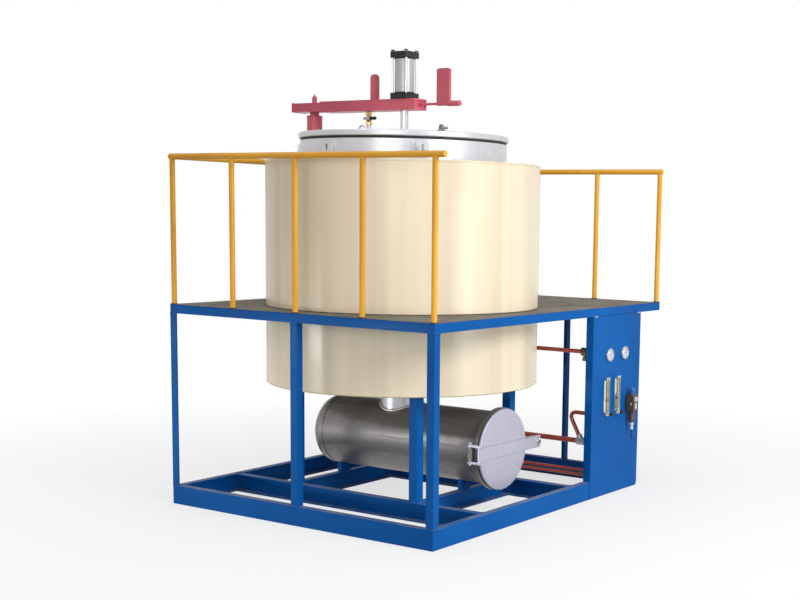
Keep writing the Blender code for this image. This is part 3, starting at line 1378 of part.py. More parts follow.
def make_tank_pipe(start_y):
    turn_y = Y_FRONT + TANK_PIPE_TURN_PLACE
    rise = TANK_PIPE_HEIGHT - TANK_HEIGHT
    tank_x = FURNACE_X + math.sqrt((TANK_DIAMETER / 2) ** 2 - rise**2)
    corners = (
        (PIPE_X, start_y, TANK_PIPE_HEIGHT),
        (PIPE_X, turn_y, TANK_PIPE_HEIGHT),
        (tank_x - TANK_PIPE_DIAMETER / 4, turn_y, TANK_PIPE_HEIGHT),
    )
    route = bent_route(corners, TANK_PIPE_BEND)
    made = finished("tank_pipe", swept(route, TANK_PIPE_DIAMETER / 2, TINY_SIDES), pipe_paint())
    branch = (
        (PIPE_X, start_y, BRANCH_HEIGHT),
        (PIPE_X, Y_FRONT + BRANCH_BACK, BRANCH_HEIGHT),
        (PIPE_X, Y_FRONT + BRANCH_FOOT, TANK_PIPE_HEIGHT),
    )
    join(made, swept(bent_route(branch, BRANCH_BEND), BRANCH_DIAMETER / 2, TINY_SIDES))
    half = TEE_LENGTH / 2
    tee_y = Y_FRONT + BRANCH_FOOT
    join(made, rod((PIPE_X, tee_y - half, TANK_PIPE_HEIGHT), (PIPE_X, tee_y + half, TANK_PIPE_HEIGHT), TEE_DIAMETER / 2, TINY_SIDES))
    front = (FURNACE_X, turn_y - TANK_DIAMETER, TANK_HEIGHT)
    back = (FURNACE_X, turn_y + TANK_DIAMETER, TANK_HEIGHT)
    cut(made, rod(front, back, TANK_DIAMETER / 2 + GAP, MID_SIDES * 2))


def make_water_pipes(start_y):
    radius = WATER_PIPE_DIAMETER / 2
    riser_x = PIPE_X - WATER_RISER_INSET
    riser_y = Y_FRONT + WATER_RISER_PLACE
    corners = (
        (PIPE_X, start_y, WATER_HIGH),
        (PIPE_X, riser_y, WATER_HIGH),
        (riser_x, riser_y, WATER_HIGH),
        (riser_x, riser_y, SHELL_BOTTOM - GAP),
    )
    finished("water_pipe_high", swept(bent_route(corners, WATER_BEND), radius, TINY_SIDES), pipe_paint())
    turn_y = Y_FRONT + WATER_LOW_TURN_PLACE
    side_x = FURNACE_X + WATER_LOW_SIDE
    rise = WATER_LOW_RISE - TANK_HEIGHT
    tank_x = FURNACE_X + math.sqrt((TANK_DIAMETER / 2) ** 2 - rise**2)
    corners = (
        (PIPE_X, start_y, WATER_LOW),
        (PIPE_X, turn_y, WATER_LOW),
        (side_x, turn_y, WATER_LOW),
        (side_x, turn_y, WATER_LOW_RISE),
        (tank_x - WATER_PIPE_DIAMETER / 2, turn_y, WATER_LOW_RISE),
    )
    made = finished("water_pipe_low", swept(bent_route(corners, WATER_BEND), radius, TINY_SIDES), pipe_paint())
    front = (FURNACE_X, turn_y - TANK_DIAMETER, TANK_HEIGHT)
    back = (FURNACE_X, turn_y + TANK_DIAMETER, TANK_HEIGHT)
    cut(made, rod(front, back, TANK_DIAMETER / 2 + GAP, MID_SIDES * 2))


def main():
    clear_scene()
    make_base()
    make_posts()
    make_deck()
    make_railings()
    make_shell()
    make_retort()
    make_collar()
    make_lid()
    make_column()
    make_arm()
    make_cylinder()
    make_lever()
    make_purge_valve()
    make_tank()
    make_door()
    make_clamp_bar()
    make_panel()
    make_pipes()


main()
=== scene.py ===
# Cleaning furnace in its blue platform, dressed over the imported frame.
import bmesh
import bpy
import json
import math
from mathutils import Matrix, Vector, noise

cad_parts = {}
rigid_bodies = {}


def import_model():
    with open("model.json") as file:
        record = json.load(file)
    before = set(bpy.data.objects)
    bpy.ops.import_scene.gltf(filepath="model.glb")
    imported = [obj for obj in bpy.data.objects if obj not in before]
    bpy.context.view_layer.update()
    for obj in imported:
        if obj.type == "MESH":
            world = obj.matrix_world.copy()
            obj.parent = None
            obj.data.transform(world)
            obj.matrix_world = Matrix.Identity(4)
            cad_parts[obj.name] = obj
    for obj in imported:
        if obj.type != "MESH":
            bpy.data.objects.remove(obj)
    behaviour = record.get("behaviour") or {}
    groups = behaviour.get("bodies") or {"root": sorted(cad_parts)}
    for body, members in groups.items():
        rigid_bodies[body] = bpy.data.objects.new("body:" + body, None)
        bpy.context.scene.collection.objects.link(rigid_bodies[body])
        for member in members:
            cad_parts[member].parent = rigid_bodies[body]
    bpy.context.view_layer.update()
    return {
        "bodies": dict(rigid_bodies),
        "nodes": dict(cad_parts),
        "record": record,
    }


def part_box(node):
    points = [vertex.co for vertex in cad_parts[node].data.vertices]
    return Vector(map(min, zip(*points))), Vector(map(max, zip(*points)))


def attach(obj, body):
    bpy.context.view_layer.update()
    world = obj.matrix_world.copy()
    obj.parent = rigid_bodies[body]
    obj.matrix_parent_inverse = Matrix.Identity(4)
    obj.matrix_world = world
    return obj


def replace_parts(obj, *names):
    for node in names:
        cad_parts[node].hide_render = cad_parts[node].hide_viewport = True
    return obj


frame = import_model()
nodes = frame["nodes"]
bodyNodes = frame["record"]["behaviour"]["bodies"]
nodeBody = {node: body for body in frame["bodies"] for node in bodyNodes[body]}
print("frame loaded,", len(nodes), "nodes")


def corners(node):
    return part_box(node)


def placed(name, data):
    holder = bpy.data.objects.new(name, data)
    bpy.context.scene.collection.objects.link(holder)
    return holder


def middleOf(node):
    low, high = corners(node)
    return (low + high) / 2


# Places that most pieces share
shellLow, shellHigh = corners("furnace_shell")
axisX = (shellLow.x + shellHigh.x) / 2
axisY = (shellLow.y + shellHigh.y) / 2
axis = (axisX, axisY)
shellRadius = (shellHigh.x - shellLow.x) / 2
deckLow, deckHigh = corners("deck_plate")
baseLow, baseHigh = corners("base_frame")
lidLow, lidHigh = corners("furnace_lid")
lidRadius = (lidHigh.x - lidLow.x) / 2
armLow, armHigh = corners("lift_arm")


# Camera, at the photograph's place

cameraSet = {
    "corner": (baseLow.x, baseLow.y),  # the near foot of the frame
    "fromCorner": (-5.611, -4.218, 1.810), "turn": 57.64, "dip": 7.49, "roll": 1.12, "focalPixels": 1334,
    "middlePixel": (540, 390), "imagePixels": (800, 600), "sensor": 36,
}


def makeCamera():
    width, height = cameraSet["imagePixels"]
    turn, dip, roll = (math.radians(cameraSet[word]) for word in ("turn", "dip", "roll"))
    ahead = Vector((math.sin(turn) * math.cos(dip), math.cos(turn) * math.cos(dip), -math.sin(dip)))
    across = Vector((math.cos(turn), -math.sin(turn), 0))
    above = across.cross(ahead)
    right = across * math.cos(roll) + above * math.sin(roll)
    up = above * math.cos(roll) - across * math.sin(roll)
    camera = bpy.data.cameras.new("photoCamera")
    camera.sensor_width = cameraSet["sensor"]
    camera.lens = cameraSet["focalPixels"] / width * cameraSet["sensor"]
    camera.shift_x = (width / 2 - cameraSet["middlePixel"][0]) / width
    camera.shift_y = (cameraSet["middlePixel"][1] - height / 2) / width
    camera.clip_end = 100
    holder = placed("photoCamera", camera)
    spot = Vector((*cameraSet["corner"], 0)) + Vector(cameraSet["fromCorner"])
    turned = Matrix((right, up, -ahead)).transposed().to_4x4()
    holder.matrix_world = Matrix.Translation(spot) @ turned
    bpy.context.scene.camera = holder


makeCamera()
print("camera set")


# Node helpers for the finishes

def newFinish(name):
    finish = bpy.data.materials.new(name)
    finish.use_nodes = True
    tree = finish.node_tree
    return finish, tree, tree.nodes["Principled BSDF"]


def feed(tree, node, inputs):
    for key, value in inputs.items():
        if isinstance(value, bpy.types.NodeSocket):
            tree.links.new(value, node.inputs[key])
        else:
            node.inputs[key].default_value = value


def wire(tree, kind, inputs, **settings):
    node = tree.nodes.new("ShaderNode" + kind)
    for key, value in settings.items():
        setattr(node, key, value)
    feed(tree, node, inputs)
    return node


def space(tree, stretch=(1, 1, 1)):
    place = wire(tree, "TexCoord", {}).outputs["Object"]
    return wire(tree, "Mapping", {"Vector": place, "Scale": stretch}).outputs["Vector"]


def clouds(tree, scale, detail=4.0, rough=0.55, stretch=(1, 1, 1)):
    inputs = {"Vector": space(tree, stretch), "Scale": scale, "Detail": detail, "Roughness": rough}
    return wire(tree, "TexNoise", inputs).outputs["Fac"]


def levels(tree, value, low, high, toLow=0.0, toHigh=1.0):
    inputs = {"Value": value, "From Min": low, "From Max": high, "To Min": toLow, "To Max": toHigh}
    return wire(tree, "MapRange", inputs).outputs["Result"]


def maths(tree, operation, first, second):
    return wire(tree, "Math", {0: first, 1: second}, operation=operation, use_clamp=True).outputs[0]


def blendColours(tree, factor, first, second):
    sides = [value if isinstance(value, bpy.types.NodeSocket) else (*value, 1.0) for value in (first, second)]
    inputs = {0: factor, 6: sides[0], 7: sides[1]}
    return wire(tree, "Mix", inputs, data_type="RGBA", blend_type="MIX").outputs[2]


def raised(tree, height, strength, distance, before=None):
    inputs = {"Height": height, "Strength": strength, "Distance": distance}
    if before is not None:
        inputs["Normal"] = before
    return wire(tree, "Bump", inputs).outputs["Normal"]


def upward(tree):
    normal = wire(tree, "NewGeometry", {}).outputs["Normal"]
    return wire(tree, "SeparateXYZ", {"Vector": normal}).outputs["Z"]


def edges(tree, reach):
    soft = wire(tree, "Bevel", {"Radius": reach}, samples=4).outputs["Normal"]
    hard = wire(tree, "NewGeometry", {}).outputs["Normal"]
    same = wire(tree, "VectorMath", {0: soft, 1: hard}, operation="DOT_PRODUCT").outputs["Value"]
    return levels(tree, same, 0.99, 0.86)


# Paints: colour clouds, painted reflection banding on the cream paint, dust that lies on top, chips along
# edges, and a sprayed surface

paints = {
    "blue_paint": {
        "colour": (0.0030, 0.112, 0.41), "shade": (0.0024, 0.092, 0.345), "dust": (0.33, 0.32, 0.31),
        "shine": 0.06,
        "dustShare": 0.80, "chip": (0.10, 0.16, 0.26), "chipShare": 0.45, "gloss": (0.34, 0.50), "coat": 0.01,
        "paintedReflectionBands": 0.0,
    },
    "yellow_paint": {
        "colour": (0.90, 0.47, 0.055), "shade": (0.79, 0.37, 0.034), "dust": (0.30, 0.17, 0.06),
        "shine": 0.15,
        "dustShare": 0.60, "chip": (0.30, 0.20, 0.10), "chipShare": 0.5, "gloss": (0.30, 0.44), "coat": 0.05,
        "paintedReflectionBands": 0.0,
    },
    "cream_paint": {
        "colour": (0.86, 0.755, 0.565), "shade": (0.83, 0.72, 0.53), "dust": (0.70, 0.68, 0.62),
        "shine": 0.20,
        "dustShare": 0.35, "chip": (0.45, 0.42, 0.36), "chipShare": 0.10, "gloss": (0.26, 0.36), "coat": 0.08,
        "paintedReflectionBands": 0.75,
    },
    "red_paint": {
        "colour": (0.68, 0.125, 0.175), "shade": (0.52, 0.085, 0.125), "dust": (0.55, 0.36, 0.38),
        "shine": 0.3,
        "dustShare": 0.45, "chip": (0.25, 0.16, 0.15), "chipShare": 0.6, "gloss": (0.30, 0.48), "coat": 0.15,
        "paintedReflectionBands": 0.0,
    },
    "pipe_paint": {
        "colour": (0.62, 0.125, 0.085), "shade": (0.46, 0.070, 0.048), "dust": (0.50, 0.36, 0.30),
        "shine": 0.4,
        "dustShare": 0.55, "chip": (0.22, 0.14, 0.11), "chipShare": 0.6, "gloss": (0.28, 0.50), "coat": 0.2,
        "paintedReflectionBands": 0.0,
    },
}


def paintFinish(slot):
    look = paints[slot]
    finish, tree, shader = newFinish(slot + "_sprayed")
    broad = clouds(tree, 1.7, 3.0)
    body = blendColours(tree, levels(tree, broad, 0.35, 0.68), look["colour"], look["shade"])
    # Cream paint gets painted reflections: soft darker vertical banding that stands in for the surroundings
    # reflected in the shell's glossy side
    if look["paintedReflectionBands"]:
        reflectionBandNoise = clouds(tree, 7.0, 2.0, 0.5, (1, 1, 0.02))
        reflectionBandColour = [part * 0.86 for part in look["shade"]]
        body = blendColours(tree, levels(tree, reflectionBandNoise, 0.40, 0.62, 0.0, look["paintedReflectionBands"]), body, reflectionBandColour)
    fine = clouds(tree, 46.0, 6.0, 0.65)
    worn = maths(tree, "MULTIPLY", edges(tree, 0.004), levels(tree, fine, 0.50, 0.62))
    worn = maths(tree, "MULTIPLY", worn, look["chipShare"])
    body = blendColours(tree, worn, body, look["chip"])
    flatTop = levels(tree, upward(tree), 0.55, 0.95)
    lying = maths(tree, "MULTIPLY", flatTop, levels(tree, clouds(tree, 7.0, 8.0, 0.7), 0.30, 0.72))
    lying = maths(tree, "MULTIPLY", lying, look["dustShare"])
    body = blendColours(tree, lying, body, look["dust"])
    rough = levels(tree, clouds(tree, 5.0, 5.0), 0.3, 0.7, *look["gloss"])
    rough = maths(tree, "ADD", rough, maths(tree, "MULTIPLY", maths(tree, "ADD", lying, worn), 0.35))
    peel = raised(tree, clouds(tree, 240.0, 2.0), 0.06, 0.0006)
    feed(tree, shader, {
        "Base Color": body, "Roughness": rough, "Normal": raised(tree, fine, 0.05, 0.0010, peel),
        "Specular IOR Level": look["shine"], "Coat Weight": look["coat"], "Coat Roughness": 0.08,
    })
    return finish


deckLook = {
    "bare": (0.150, 0.132, 0.108), "worn": (0.225, 0.208, 0.180), "stain": (0.075, 0.062, 0.048),
    "blueLeft": (0.03, 0.07, 0.15), "edgeBlue": (0.005, 0.10, 0.36),
}


def deckFinish():
    finish, tree, shader = newFinish("deck_scuffed")
    broad = clouds(tree, 2.4, 6.0, 0.6, (1, 1.6, 1))
    body = blendColours(tree, levels(tree, broad, 0.36, 0.62), deckLook["bare"], deckLook["worn"])
    spots = clouds(tree, 17.0, 8.0, 0.72)
    body = blendColours(tree, levels(tree, spots, 0.56, 0.70, 0.0, 0.75), body, deckLook["stain"])
    flakes = levels(tree, clouds(tree, 6.0, 7.0, 0.7, (1, 2.4, 1)), 0.60, 0.70)
    leftOver = maths(tree, "MULTIPLY", flakes, 0.55)
    body = blendColours(tree, leftOver, body, deckLook["blueLeft"])
    scratch = clouds(tree, 22.0, 3.0, 0.5, (1, 14, 1))
    body = blendColours(tree, levels(tree, scratch, 0.66, 0.72, 0.0, 0.45), body, deckLook["worn"])
    body = blendColours(tree, levels(tree, upward(tree), 0.9, 0.5), body, deckLook["edgeBlue"])
    rough = levels(tree, spots, 0.3, 0.7, 0.52, 0.85)
    grain = raised(tree, clouds(tree, 120.0, 5.0, 0.7), 0.25, 0.0012)
    grain = raised(tree, scratch, 0.12, 0.0012, grain)
    feed(tree, shader, {"Base Color": body, "Roughness": rough, "Specular IOR Level": 0.06, "Normal": grain})
    return finish


# Metals: a brushed or cast surface with smudges and spots of darker grime

metals = {
    "stainless": {
        "colour": (0.66, 0.67, 0.71), "shade": (0.46, 0.465, 0.50), "gloss": (0.26, 0.42),
        "brush": (2, 2, 90), "brushDepth": 0.10, "metallic": 0.55, "spots": 0.25,
        "spotColour": (0.36, 0.36, 0.38),
    },
    "tank_steel": {
        "colour": (0.245, 0.232, 0.226), "shade": (0.175, 0.166, 0.162), "gloss": (0.30, 0.42),
        "brush": (18, 2.5, 18), "brushDepth": 0.07, "metallic": 0.6, "spots": 0.35,
        "spotColour": (0.12, 0.11, 0.105),
    },
    "door_steel": {
        "colour": (0.56, 0.555, 0.65), "shade": (0.47, 0.465, 0.56), "gloss": (0.34, 0.50),
        "brush": (3, 3, 42), "brushDepth": 0.08, "metallic": 0.55, "spots": 0.35,
        "spotColour": (0.42, 0.40, 0.44),
    },
    "aluminium": {
        "colour": (0.50, 0.49, 0.50), "shade": (0.38, 0.37, 0.38), "gloss": (0.24, 0.38),
        "brush": (2, 2, 160), "brushDepth": 0.08, "metallic": 0.35, "spots": 0.1,
        "spotColour": (0.42, 0.42, 0.44),
    },
    "brass": {
        "colour": (0.66, 0.44, 0.17), "shade": (0.42, 0.26, 0.09), "gloss": (0.22, 0.42),
        "brush": (30, 30, 30), "brushDepth": 0.12, "metallic": 1.0, "spots": 0.5,
        "spotColour": (0.20, 0.12, 0.05),
    },
    "chrome": {
        "colour": (0.66, 0.67, 0.69), "shade": (0.52, 0.53, 0.56), "gloss": (0.10, 0.20),
        "brush": (4, 4, 60), "brushDepth": 0.03, "metallic": 0.85, "spots": 0.1,
        "spotColour": (0.45, 0.45, 0.47),
    },
    "zinc_plate": {
        "colour": (0.62, 0.62, 0.60), "shade": (0.46, 0.46, 0.44), "gloss": (0.28, 0.46),
        "brush": (20, 20, 20), "brushDepth": 0.10, "metallic": 0.95, "spots": 0.4,
        "spotColour": (0.25, 0.24, 0.22),
    },
    "bright_weld": {
        "colour": (0.74, 0.73, 0.71), "shade": (0.44, 0.42, 0.40), "gloss": (0.28, 0.5),
        "brush": (36, 36, 36), "brushDepth": 0.30, "metallic": 0.8, "spots": 0.5,
        "spotColour": (0.26, 0.22, 0.19),
    },
    "burnt_weld": {
        "colour": (0.07, 0.055, 0.045), "shade": (0.030, 0.026, 0.024), "gloss": (0.45, 0.7),
        "brush": (30, 30, 30), "brushDepth": 0.30, "metallic": 0.5, "spots": 0.6,
        "spotColour": (0.28, 0.13, 0.03),
    },
    "dark_steel": {
        "colour": (0.20, 0.20, 0.19), "shade": (0.11, 0.11, 0.10), "gloss": (0.30, 0.5),
        "brush": (24, 24, 24), "brushDepth": 0.12, "metallic": 0.5, "spots": 0.4,
        "spotColour": (0.07, 0.065, 0.06),
    },
    "aged_brass": {
        "colour": (0.40, 0.27, 0.13), "shade": (0.22, 0.14, 0.07), "gloss": (0.34, 0.55),
        "brush": (30, 30, 30), "brushDepth": 0.16, "metallic": 0.9, "spots": 0.6,
        "spotColour": (0.13, 0.08, 0.05),
    },
    "heat_alloy": {
        "colour": (0.34, 0.24, 0.17), "shade": (0.20, 0.14, 0.10), "gloss": (0.5, 0.7),
        "brush": (12, 12, 12), "brushDepth": 0.2, "metallic": 0.8, "spots": 0.5,
        "spotColour": (0.12, 0.09, 0.07),
    },
    "regulator_metal": {
        "colour": (0.115, 0.085, 0.072), "shade": (0.075, 0.056, 0.048), "gloss": (0.34, 0.5),
        "brush": (60, 60, 60), "brushDepth": 0.10, "metallic": 0.25, "spots": 0.3,
        "spotColour": (0.20, 0.17, 0.15),
    },
}


def metalFinish(slot):
    look = metals[slot]
    finish, tree, shader = newFinish(slot + "_worked")
    brushed = clouds(tree, 6.0, 4.0, 0.6, look["brush"])
    broad = clouds(tree, 2.6, 5.0, 0.6)
    broad = levels(tree, broad, 0.25, 0.66, 0.45, 1.0)
    tone = maths(tree, "MULTIPLY", levels(tree, brushed, 0.30, 0.72), broad)
    body = blendColours(tree, tone, look["colour"], look["shade"])
    grimeAndGapShade = maths(tree, "MULTIPLY", levels(tree, clouds(tree, 14.0, 8.0, 0.7), 0.52, 0.72), look["spots"])
    body = blendColours(tree, grimeAndGapShade, body, look["spotColour"])
    rough = levels(tree, brushed, 0.28, 0.72, *look["gloss"])
    rough = maths(tree, "ADD", rough, maths(tree, "MULTIPLY", grimeAndGapShade, 0.3))
    lines = raised(tree, brushed, look["brushDepth"], 0.0008)
    feed(tree, shader, {
        "Base Color": body, "Metallic": look["metallic"], "Roughness": rough, "Specular IOR Level": 0.3,
        "Normal": raised(tree, clouds(tree, 160.0, 3.0), 0.04, 0.0006, lines),
    })
    return finish


# Moulded and soft finishes

plastics = {
    "black_cap": {
        "colour": (0.010, 0.010, 0.011), "shade": (0.022, 0.022, 0.025), "gloss": (0.28, 0.45),
        "grain": 320.0,
    },
    "black_rubber": {
        "colour": (0.018, 0.018, 0.019), "shade": (0.04, 0.04, 0.042), "gloss": (0.6, 0.8),
        "grain": 180.0,
    },
    "fibre": {
        "colour": (0.72, 0.70, 0.66), "shade": (0.58, 0.55, 0.50), "gloss": (0.85, 0.95), "grain": 60.0,
    },
    "white_dial": {
        "colour": (0.82, 0.83, 0.84), "shade": (0.74, 0.75, 0.77), "gloss": (0.4, 0.5), "grain": 260.0,
    },
    "white_plastic": {
        "colour": (0.78, 0.78, 0.77), "shade": (0.66, 0.66, 0.64), "gloss": (0.3, 0.42), "grain": 220.0,
    },
    "blue_plastic": {
        "colour": (0.02, 0.13, 0.42), "shade": (0.015, 0.09, 0.30), "gloss": (0.3, 0.42), "grain": 220.0,
    },
    "dark_print": {
        "colour": (0.02, 0.02, 0.024), "shade": (0.05, 0.05, 0.055), "gloss": (0.5, 0.6), "grain": 260.0,
    },
    "needle_red": {
        "colour": (0.60, 0.03, 0.02), "shade": (0.45, 0.02, 0.015), "gloss": (0.35, 0.45),
        "grain": 260.0,
    },
}


def plasticFinish(slot):
    look = plastics[slot]
    finish, tree, shader = newFinish(slot + "_moulded")
    broad = clouds(tree, 9.0, 5.0, 0.6)
    body = blendColours(tree, levels(tree, broad, 0.35, 0.72), look["colour"], look["shade"])
    rough = levels(tree, clouds(tree, 22.0, 5.0), 0.3, 0.7, *look["gloss"])
    grain = raised(tree, clouds(tree, look["grain"], 3.0), 0.10, 0.0006)
    feed(tree, shader, {"Base Color": body, "Roughness": rough, "Specular IOR Level": 0.3, "Normal": grain})
    return finish


clearLooks = {
    "clear_plastic": {"tint": (0.97, 0.93, 0.70), "rough": 0.06, "ior": 1.49},
    "flow_amber": {"tint": (0.95, 0.78, 0.42), "rough": 0.12, "ior": 1.42},
    "gauge_glass": {"tint": (0.98, 0.99, 1.0), "rough": 0.02, "ior": 1.45},
}


def clearFinish(slot):
    look = clearLooks[slot]
    finish, tree, shader = newFinish(slot + "_clear")
    haze = levels(tree, clouds(tree, 30.0, 5.0), 0.4, 0.75, look["rough"], look["rough"] + 0.08)
    tint = [value * 0.93 for value in look["tint"]]
    body = blendColours(tree, levels(tree, clouds(tree, 12.0), 0.4, 0.8), look["tint"], tint)
    inputs = {"Base Color": body, "Roughness": haze, "Transmission Weight": 0.92, "IOR": look["ior"]}
    feed(tree, shader, inputs)
    return finish


finishes = {"deck_paint": deckFinish()}
kinds = ((paints, paintFinish), (metals, metalFinish), (plastics, plasticFinish), (clearLooks, clearFinish))
for looks, makeFinish in kinds:
    for slot in looks:
        finishes[slot] = makeFinish(slot)
print("finishes made,", len(finishes))


# Mesh helpers

def addPiece(name, shape, body, finish, sharp=35, bevel=0.0):
    mesh = bpy.data.meshes.new(name)
    bmesh.ops.remove_doubles(shape, verts=shape.verts, dist=0.000001)
    bmesh.ops.recalc_face_normals(shape, faces=shape.faces)
    shape.to_mesh(mesh)
    shape.free()
    mesh.shade_smooth()
    mesh.set_sharp_from_angle(angle=math.radians(sharp))
    mesh.materials.append(finishes[finish])
    piece = placed(name, mesh)
    if bevel:
        rounding = piece.modifiers.new("roundedEdges", "BEVEL")
        rounding.width = bevel
        rounding.segments = 2
        rounding.limit_method = "ANGLE"
        rounding.angle_limit = math.radians(sharp)
        rounding.harden_normals = True
    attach(piece, body)
    return piece


# Shape helpers, each adds its form to a shape that may hold several

def joinRings(shape, rings):
    for low, high in zip(rings, rings[1:]):
        for step in range(len(low)):
            after = (step + 1) % len(low)
            shape.faces.new((low[step], low[after], high[after], high[step]))
    shape.faces.new(rings[0])
    shape.faces.new(rings[-1])


def turned(shape, profile, place, ahead=(0, 0, 1), sides=32, flutes=0, fluteDepth=0.0):
    facing = Vector(ahead).normalized().to_track_quat("Z", "Y").to_matrix()
    rings = []
    for radius, height in profile:
        ring = []
        for step in range(sides):
            angle = 2 * math.pi * step / sides
            reach = radius * (1 - fluteDepth * (0.5 + 0.5 * math.cos(flutes * angle))) if flutes else radius
            spot = Vector((reach * math.cos(angle), reach * math.sin(angle), height))
            ring.append(shape.verts.new(Vector(place) + facing @ spot))
        rings.append(ring)
    joinRings(shape, rings)


def addTurned(name, profile, place, body, finish, slot=None, **form):
    shape = bmesh.new()
    turned(shape, profile, place, **form)
    return addPiece(name, shape, body, finish)


def prism(shape, outline, lift):
    near = [shape.verts.new(point) for point in outline]
    far = [shape.verts.new(Vector(point) + Vector(lift)) for point in outline]
    joinRings(shape, (near, far))


def hexagon(shape, place, across, height, ahead=(0, 0, 1)):
    corner = across / math.sqrt(3)
    cut = height * 0.14
    profile = ((corner * 0.90, 0), (corner, cut), (corner, height - cut), (corner * 0.90, height))
    turned(shape, profile, place, ahead, 6)


def roundBar(shape, points, radius, sides=16, swell=None):
    points = [Vector(point) for point in points]
    facing = None
    rings = []
    for index, point in enumerate(points):
        ahead = (points[min(index + 1, len(points) - 1)] - points[max(index - 1, 0)]).normalized()
        facing = ahead.orthogonal() if facing is None else facing - ahead * facing.dot(ahead)
        facing = facing.normalized()
        across = ahead.cross(facing)
        thick = radius * (swell(index) if swell else 1)
        ring = []
        for step in range(sides):
            angle = 2 * math.pi * step / sides
            out = facing * math.cos(angle) + across * math.sin(angle)
            ring.append(shape.verts.new(point + out * thick))
        rings.append(ring)
    joinRings(shape, rings)


def onCircle(centre, radius, turn, height):
    return (centre[0] + radius * math.cos(turn), centre[1] + radius * math.sin(turn), height)


def evenTurns(count):
    return [2 * math.pi * (step + 0.5) / count for step in range(count)]


def slab(shape, low, high):
    made = bmesh.ops.create_cube(shape, size=1)["verts"]
    size = Vector(high) - Vector(low)
    for vert in made:
        vert.co = Vector(low) + Vector([(vert.co[way] + 0.5) * size[way] for way in range(3)])


# Weld beads, laid in short overlapping ripples as a hand weld is

weldSet = {"ripple": 0.0045, "unevenness": 0.22, "sides": 8}


def beadSwell(index):
    wander = noise.noise(Vector((index * 0.31, 0.4, 0)))
    return 1 + weldSet["unevenness"] * (math.sin(index * 2.1) * 0.55 + wander)


def weldLine(shape, start, end, size):
    start, end = Vector(start), Vector(end)
    steps = max(3, int((end - start).length / weldSet["ripple"]))
    points = [start.lerp(end, step / steps) for step in range(steps + 1)]
    roundBar(shape, points, size, weldSet["sides"], beadSwell)


def weldRing(shape, centre, radius, size, ahead=(0, 0, 1)):
    facing = Vector(ahead).normalized().to_track_quat("Z", "Y").to_matrix()
    steps = max(12, int(2 * math.pi * radius / weldSet["ripple"]))
    points = []
    for step in range(steps + 1):
        angle = 2 * math.pi * step / steps
        points.append(Vector(centre) + facing @ Vector((math.cos(angle), math.sin(angle), 0)) * radius)
    roundBar(shape, points, size, weldSet["sides"], beadSwell)


# Frame welds, at the feet and heads of the posts and legs

frameWeldSet = {"size": 0.0035, "near": 0.001}


def outerSide(first, second):
    outer = ((baseLow.x, baseHigh.x), (baseLow.y, baseHigh.y))
    for way in (0, 1):
        straight = abs(first[way] - second[way]) < frameWeldSet["near"]
        if straight and min(abs(first[way] - side) for side in outer[way]) < frameWeldSet["near"]:
            return True
    return False


def makeFrameWelds():
    shape = bmesh.new()
    size = frameWeldSet["size"]
    for node in nodes:
        if not node.startswith(("post_", "furnace_leg_")):
            continue
        low, high = corners(node)
        for height in (low.z, high.z):
            ring = [(low.x, low.y), (high.x, low.y), (high.x, high.y), (low.x, high.y)]
            for first, second in zip(ring, ring[1:] + ring[:1]):
                if node.startswith("post_") and not outerSide(first, second):
                    continue
                weldLine(shape, (*first, height), (*second, height), size)
    for low, high in (corners("base_cross_front"), corners("base_cross_back")):
        for x in (low.x, high.x):
            weldLine(shape, (x, low.y, high.z), (x, high.y, high.z), size)
    for low, high in (corners("base_joist_left"), corners("base_joist_right"), corners("deck_joist")):
        for y in (low.y, high.y):
            weldLine(shape, (low.x, y, high.z), (high.x, y, high.z), size)
    addPiece("frame_welds", shape, "frame", "blue_paint", sharp=60)


# Railing welds, burnt dark at the feet, and the plugs in the rails' ends

railingSet = {
    "postRadius": 0.0165, "railRadius": 0.018, "postCount": 5, "footWeld": 0.0045, "headWeld": 0.0028,
    "plugDome": 0.005, "plugIn": 0.004, "plugShare": 0.97, "plugTurns": (0.5, 0.9, 1.3), "weldGap": 0.0005,
}


def makeRailingDetail():
    feet, heads, plugs = bmesh.new(), bmesh.new(), bmesh.new()
    backLow, backHigh = corners("railing_back")
    leftLow, leftHigh = corners("railing_left")
    rightLow, rightHigh = corners("railing_right")
    radius, gap = railingSet["postRadius"], railingSet["weldGap"]
    railRadius = railingSet["railRadius"]
    front = baseLow.y + railRadius + gap
    back = leftHigh.y - railRadius
    places = []
    for x in ((leftLow.x + leftHigh.x) / 2, (rightLow.x + rightHigh.x) / 2):
        for step in range(railingSet["postCount"]):
            places.append((x, front + (back - front) * step / (railingSet["postCount"] - 1)))
    places.append((0.0, (backLow.y + backHigh.y) / 2))
    for x, y in places:
        weldRing(feet, (x, y, deckHigh.z + 2 * gap), radius + 2 * gap, railingSet["footWeld"])
        weldRing(heads, (x, y, leftHigh.z - railRadius * 2 + 6 * gap), radius + gap, railingSet["headWeld"])
    dome, plug = railingSet["plugDome"], railRadius * railingSet["plugShare"]
    profile = [(plug, -railingSet["plugIn"]), (plug, 0)]
    for turn in railingSet["plugTurns"]:
        profile.append((railRadius * math.cos(turn), dome * math.sin(turn)))
    profile.append((0, dome))
    for low, high in ((leftLow, leftHigh), (rightLow, rightHigh)):
        spot = ((low.x + high.x) / 2, low.y, high.z - railRadius)
        turned(plugs, profile, spot, (0, -1, 0), 28)
    addPiece("railing_foot_welds", feet, "frame", "burnt_weld", sharp=60)
    addPiece("railing_head_welds", heads, "frame", "yellow_paint", sharp=60)
    addPiece("railing_end_plugs", plugs, "frame", "yellow_paint")


# Shell trims: a rolled hem, a riveted lap at the back, screws round the top plate and the collar's weld

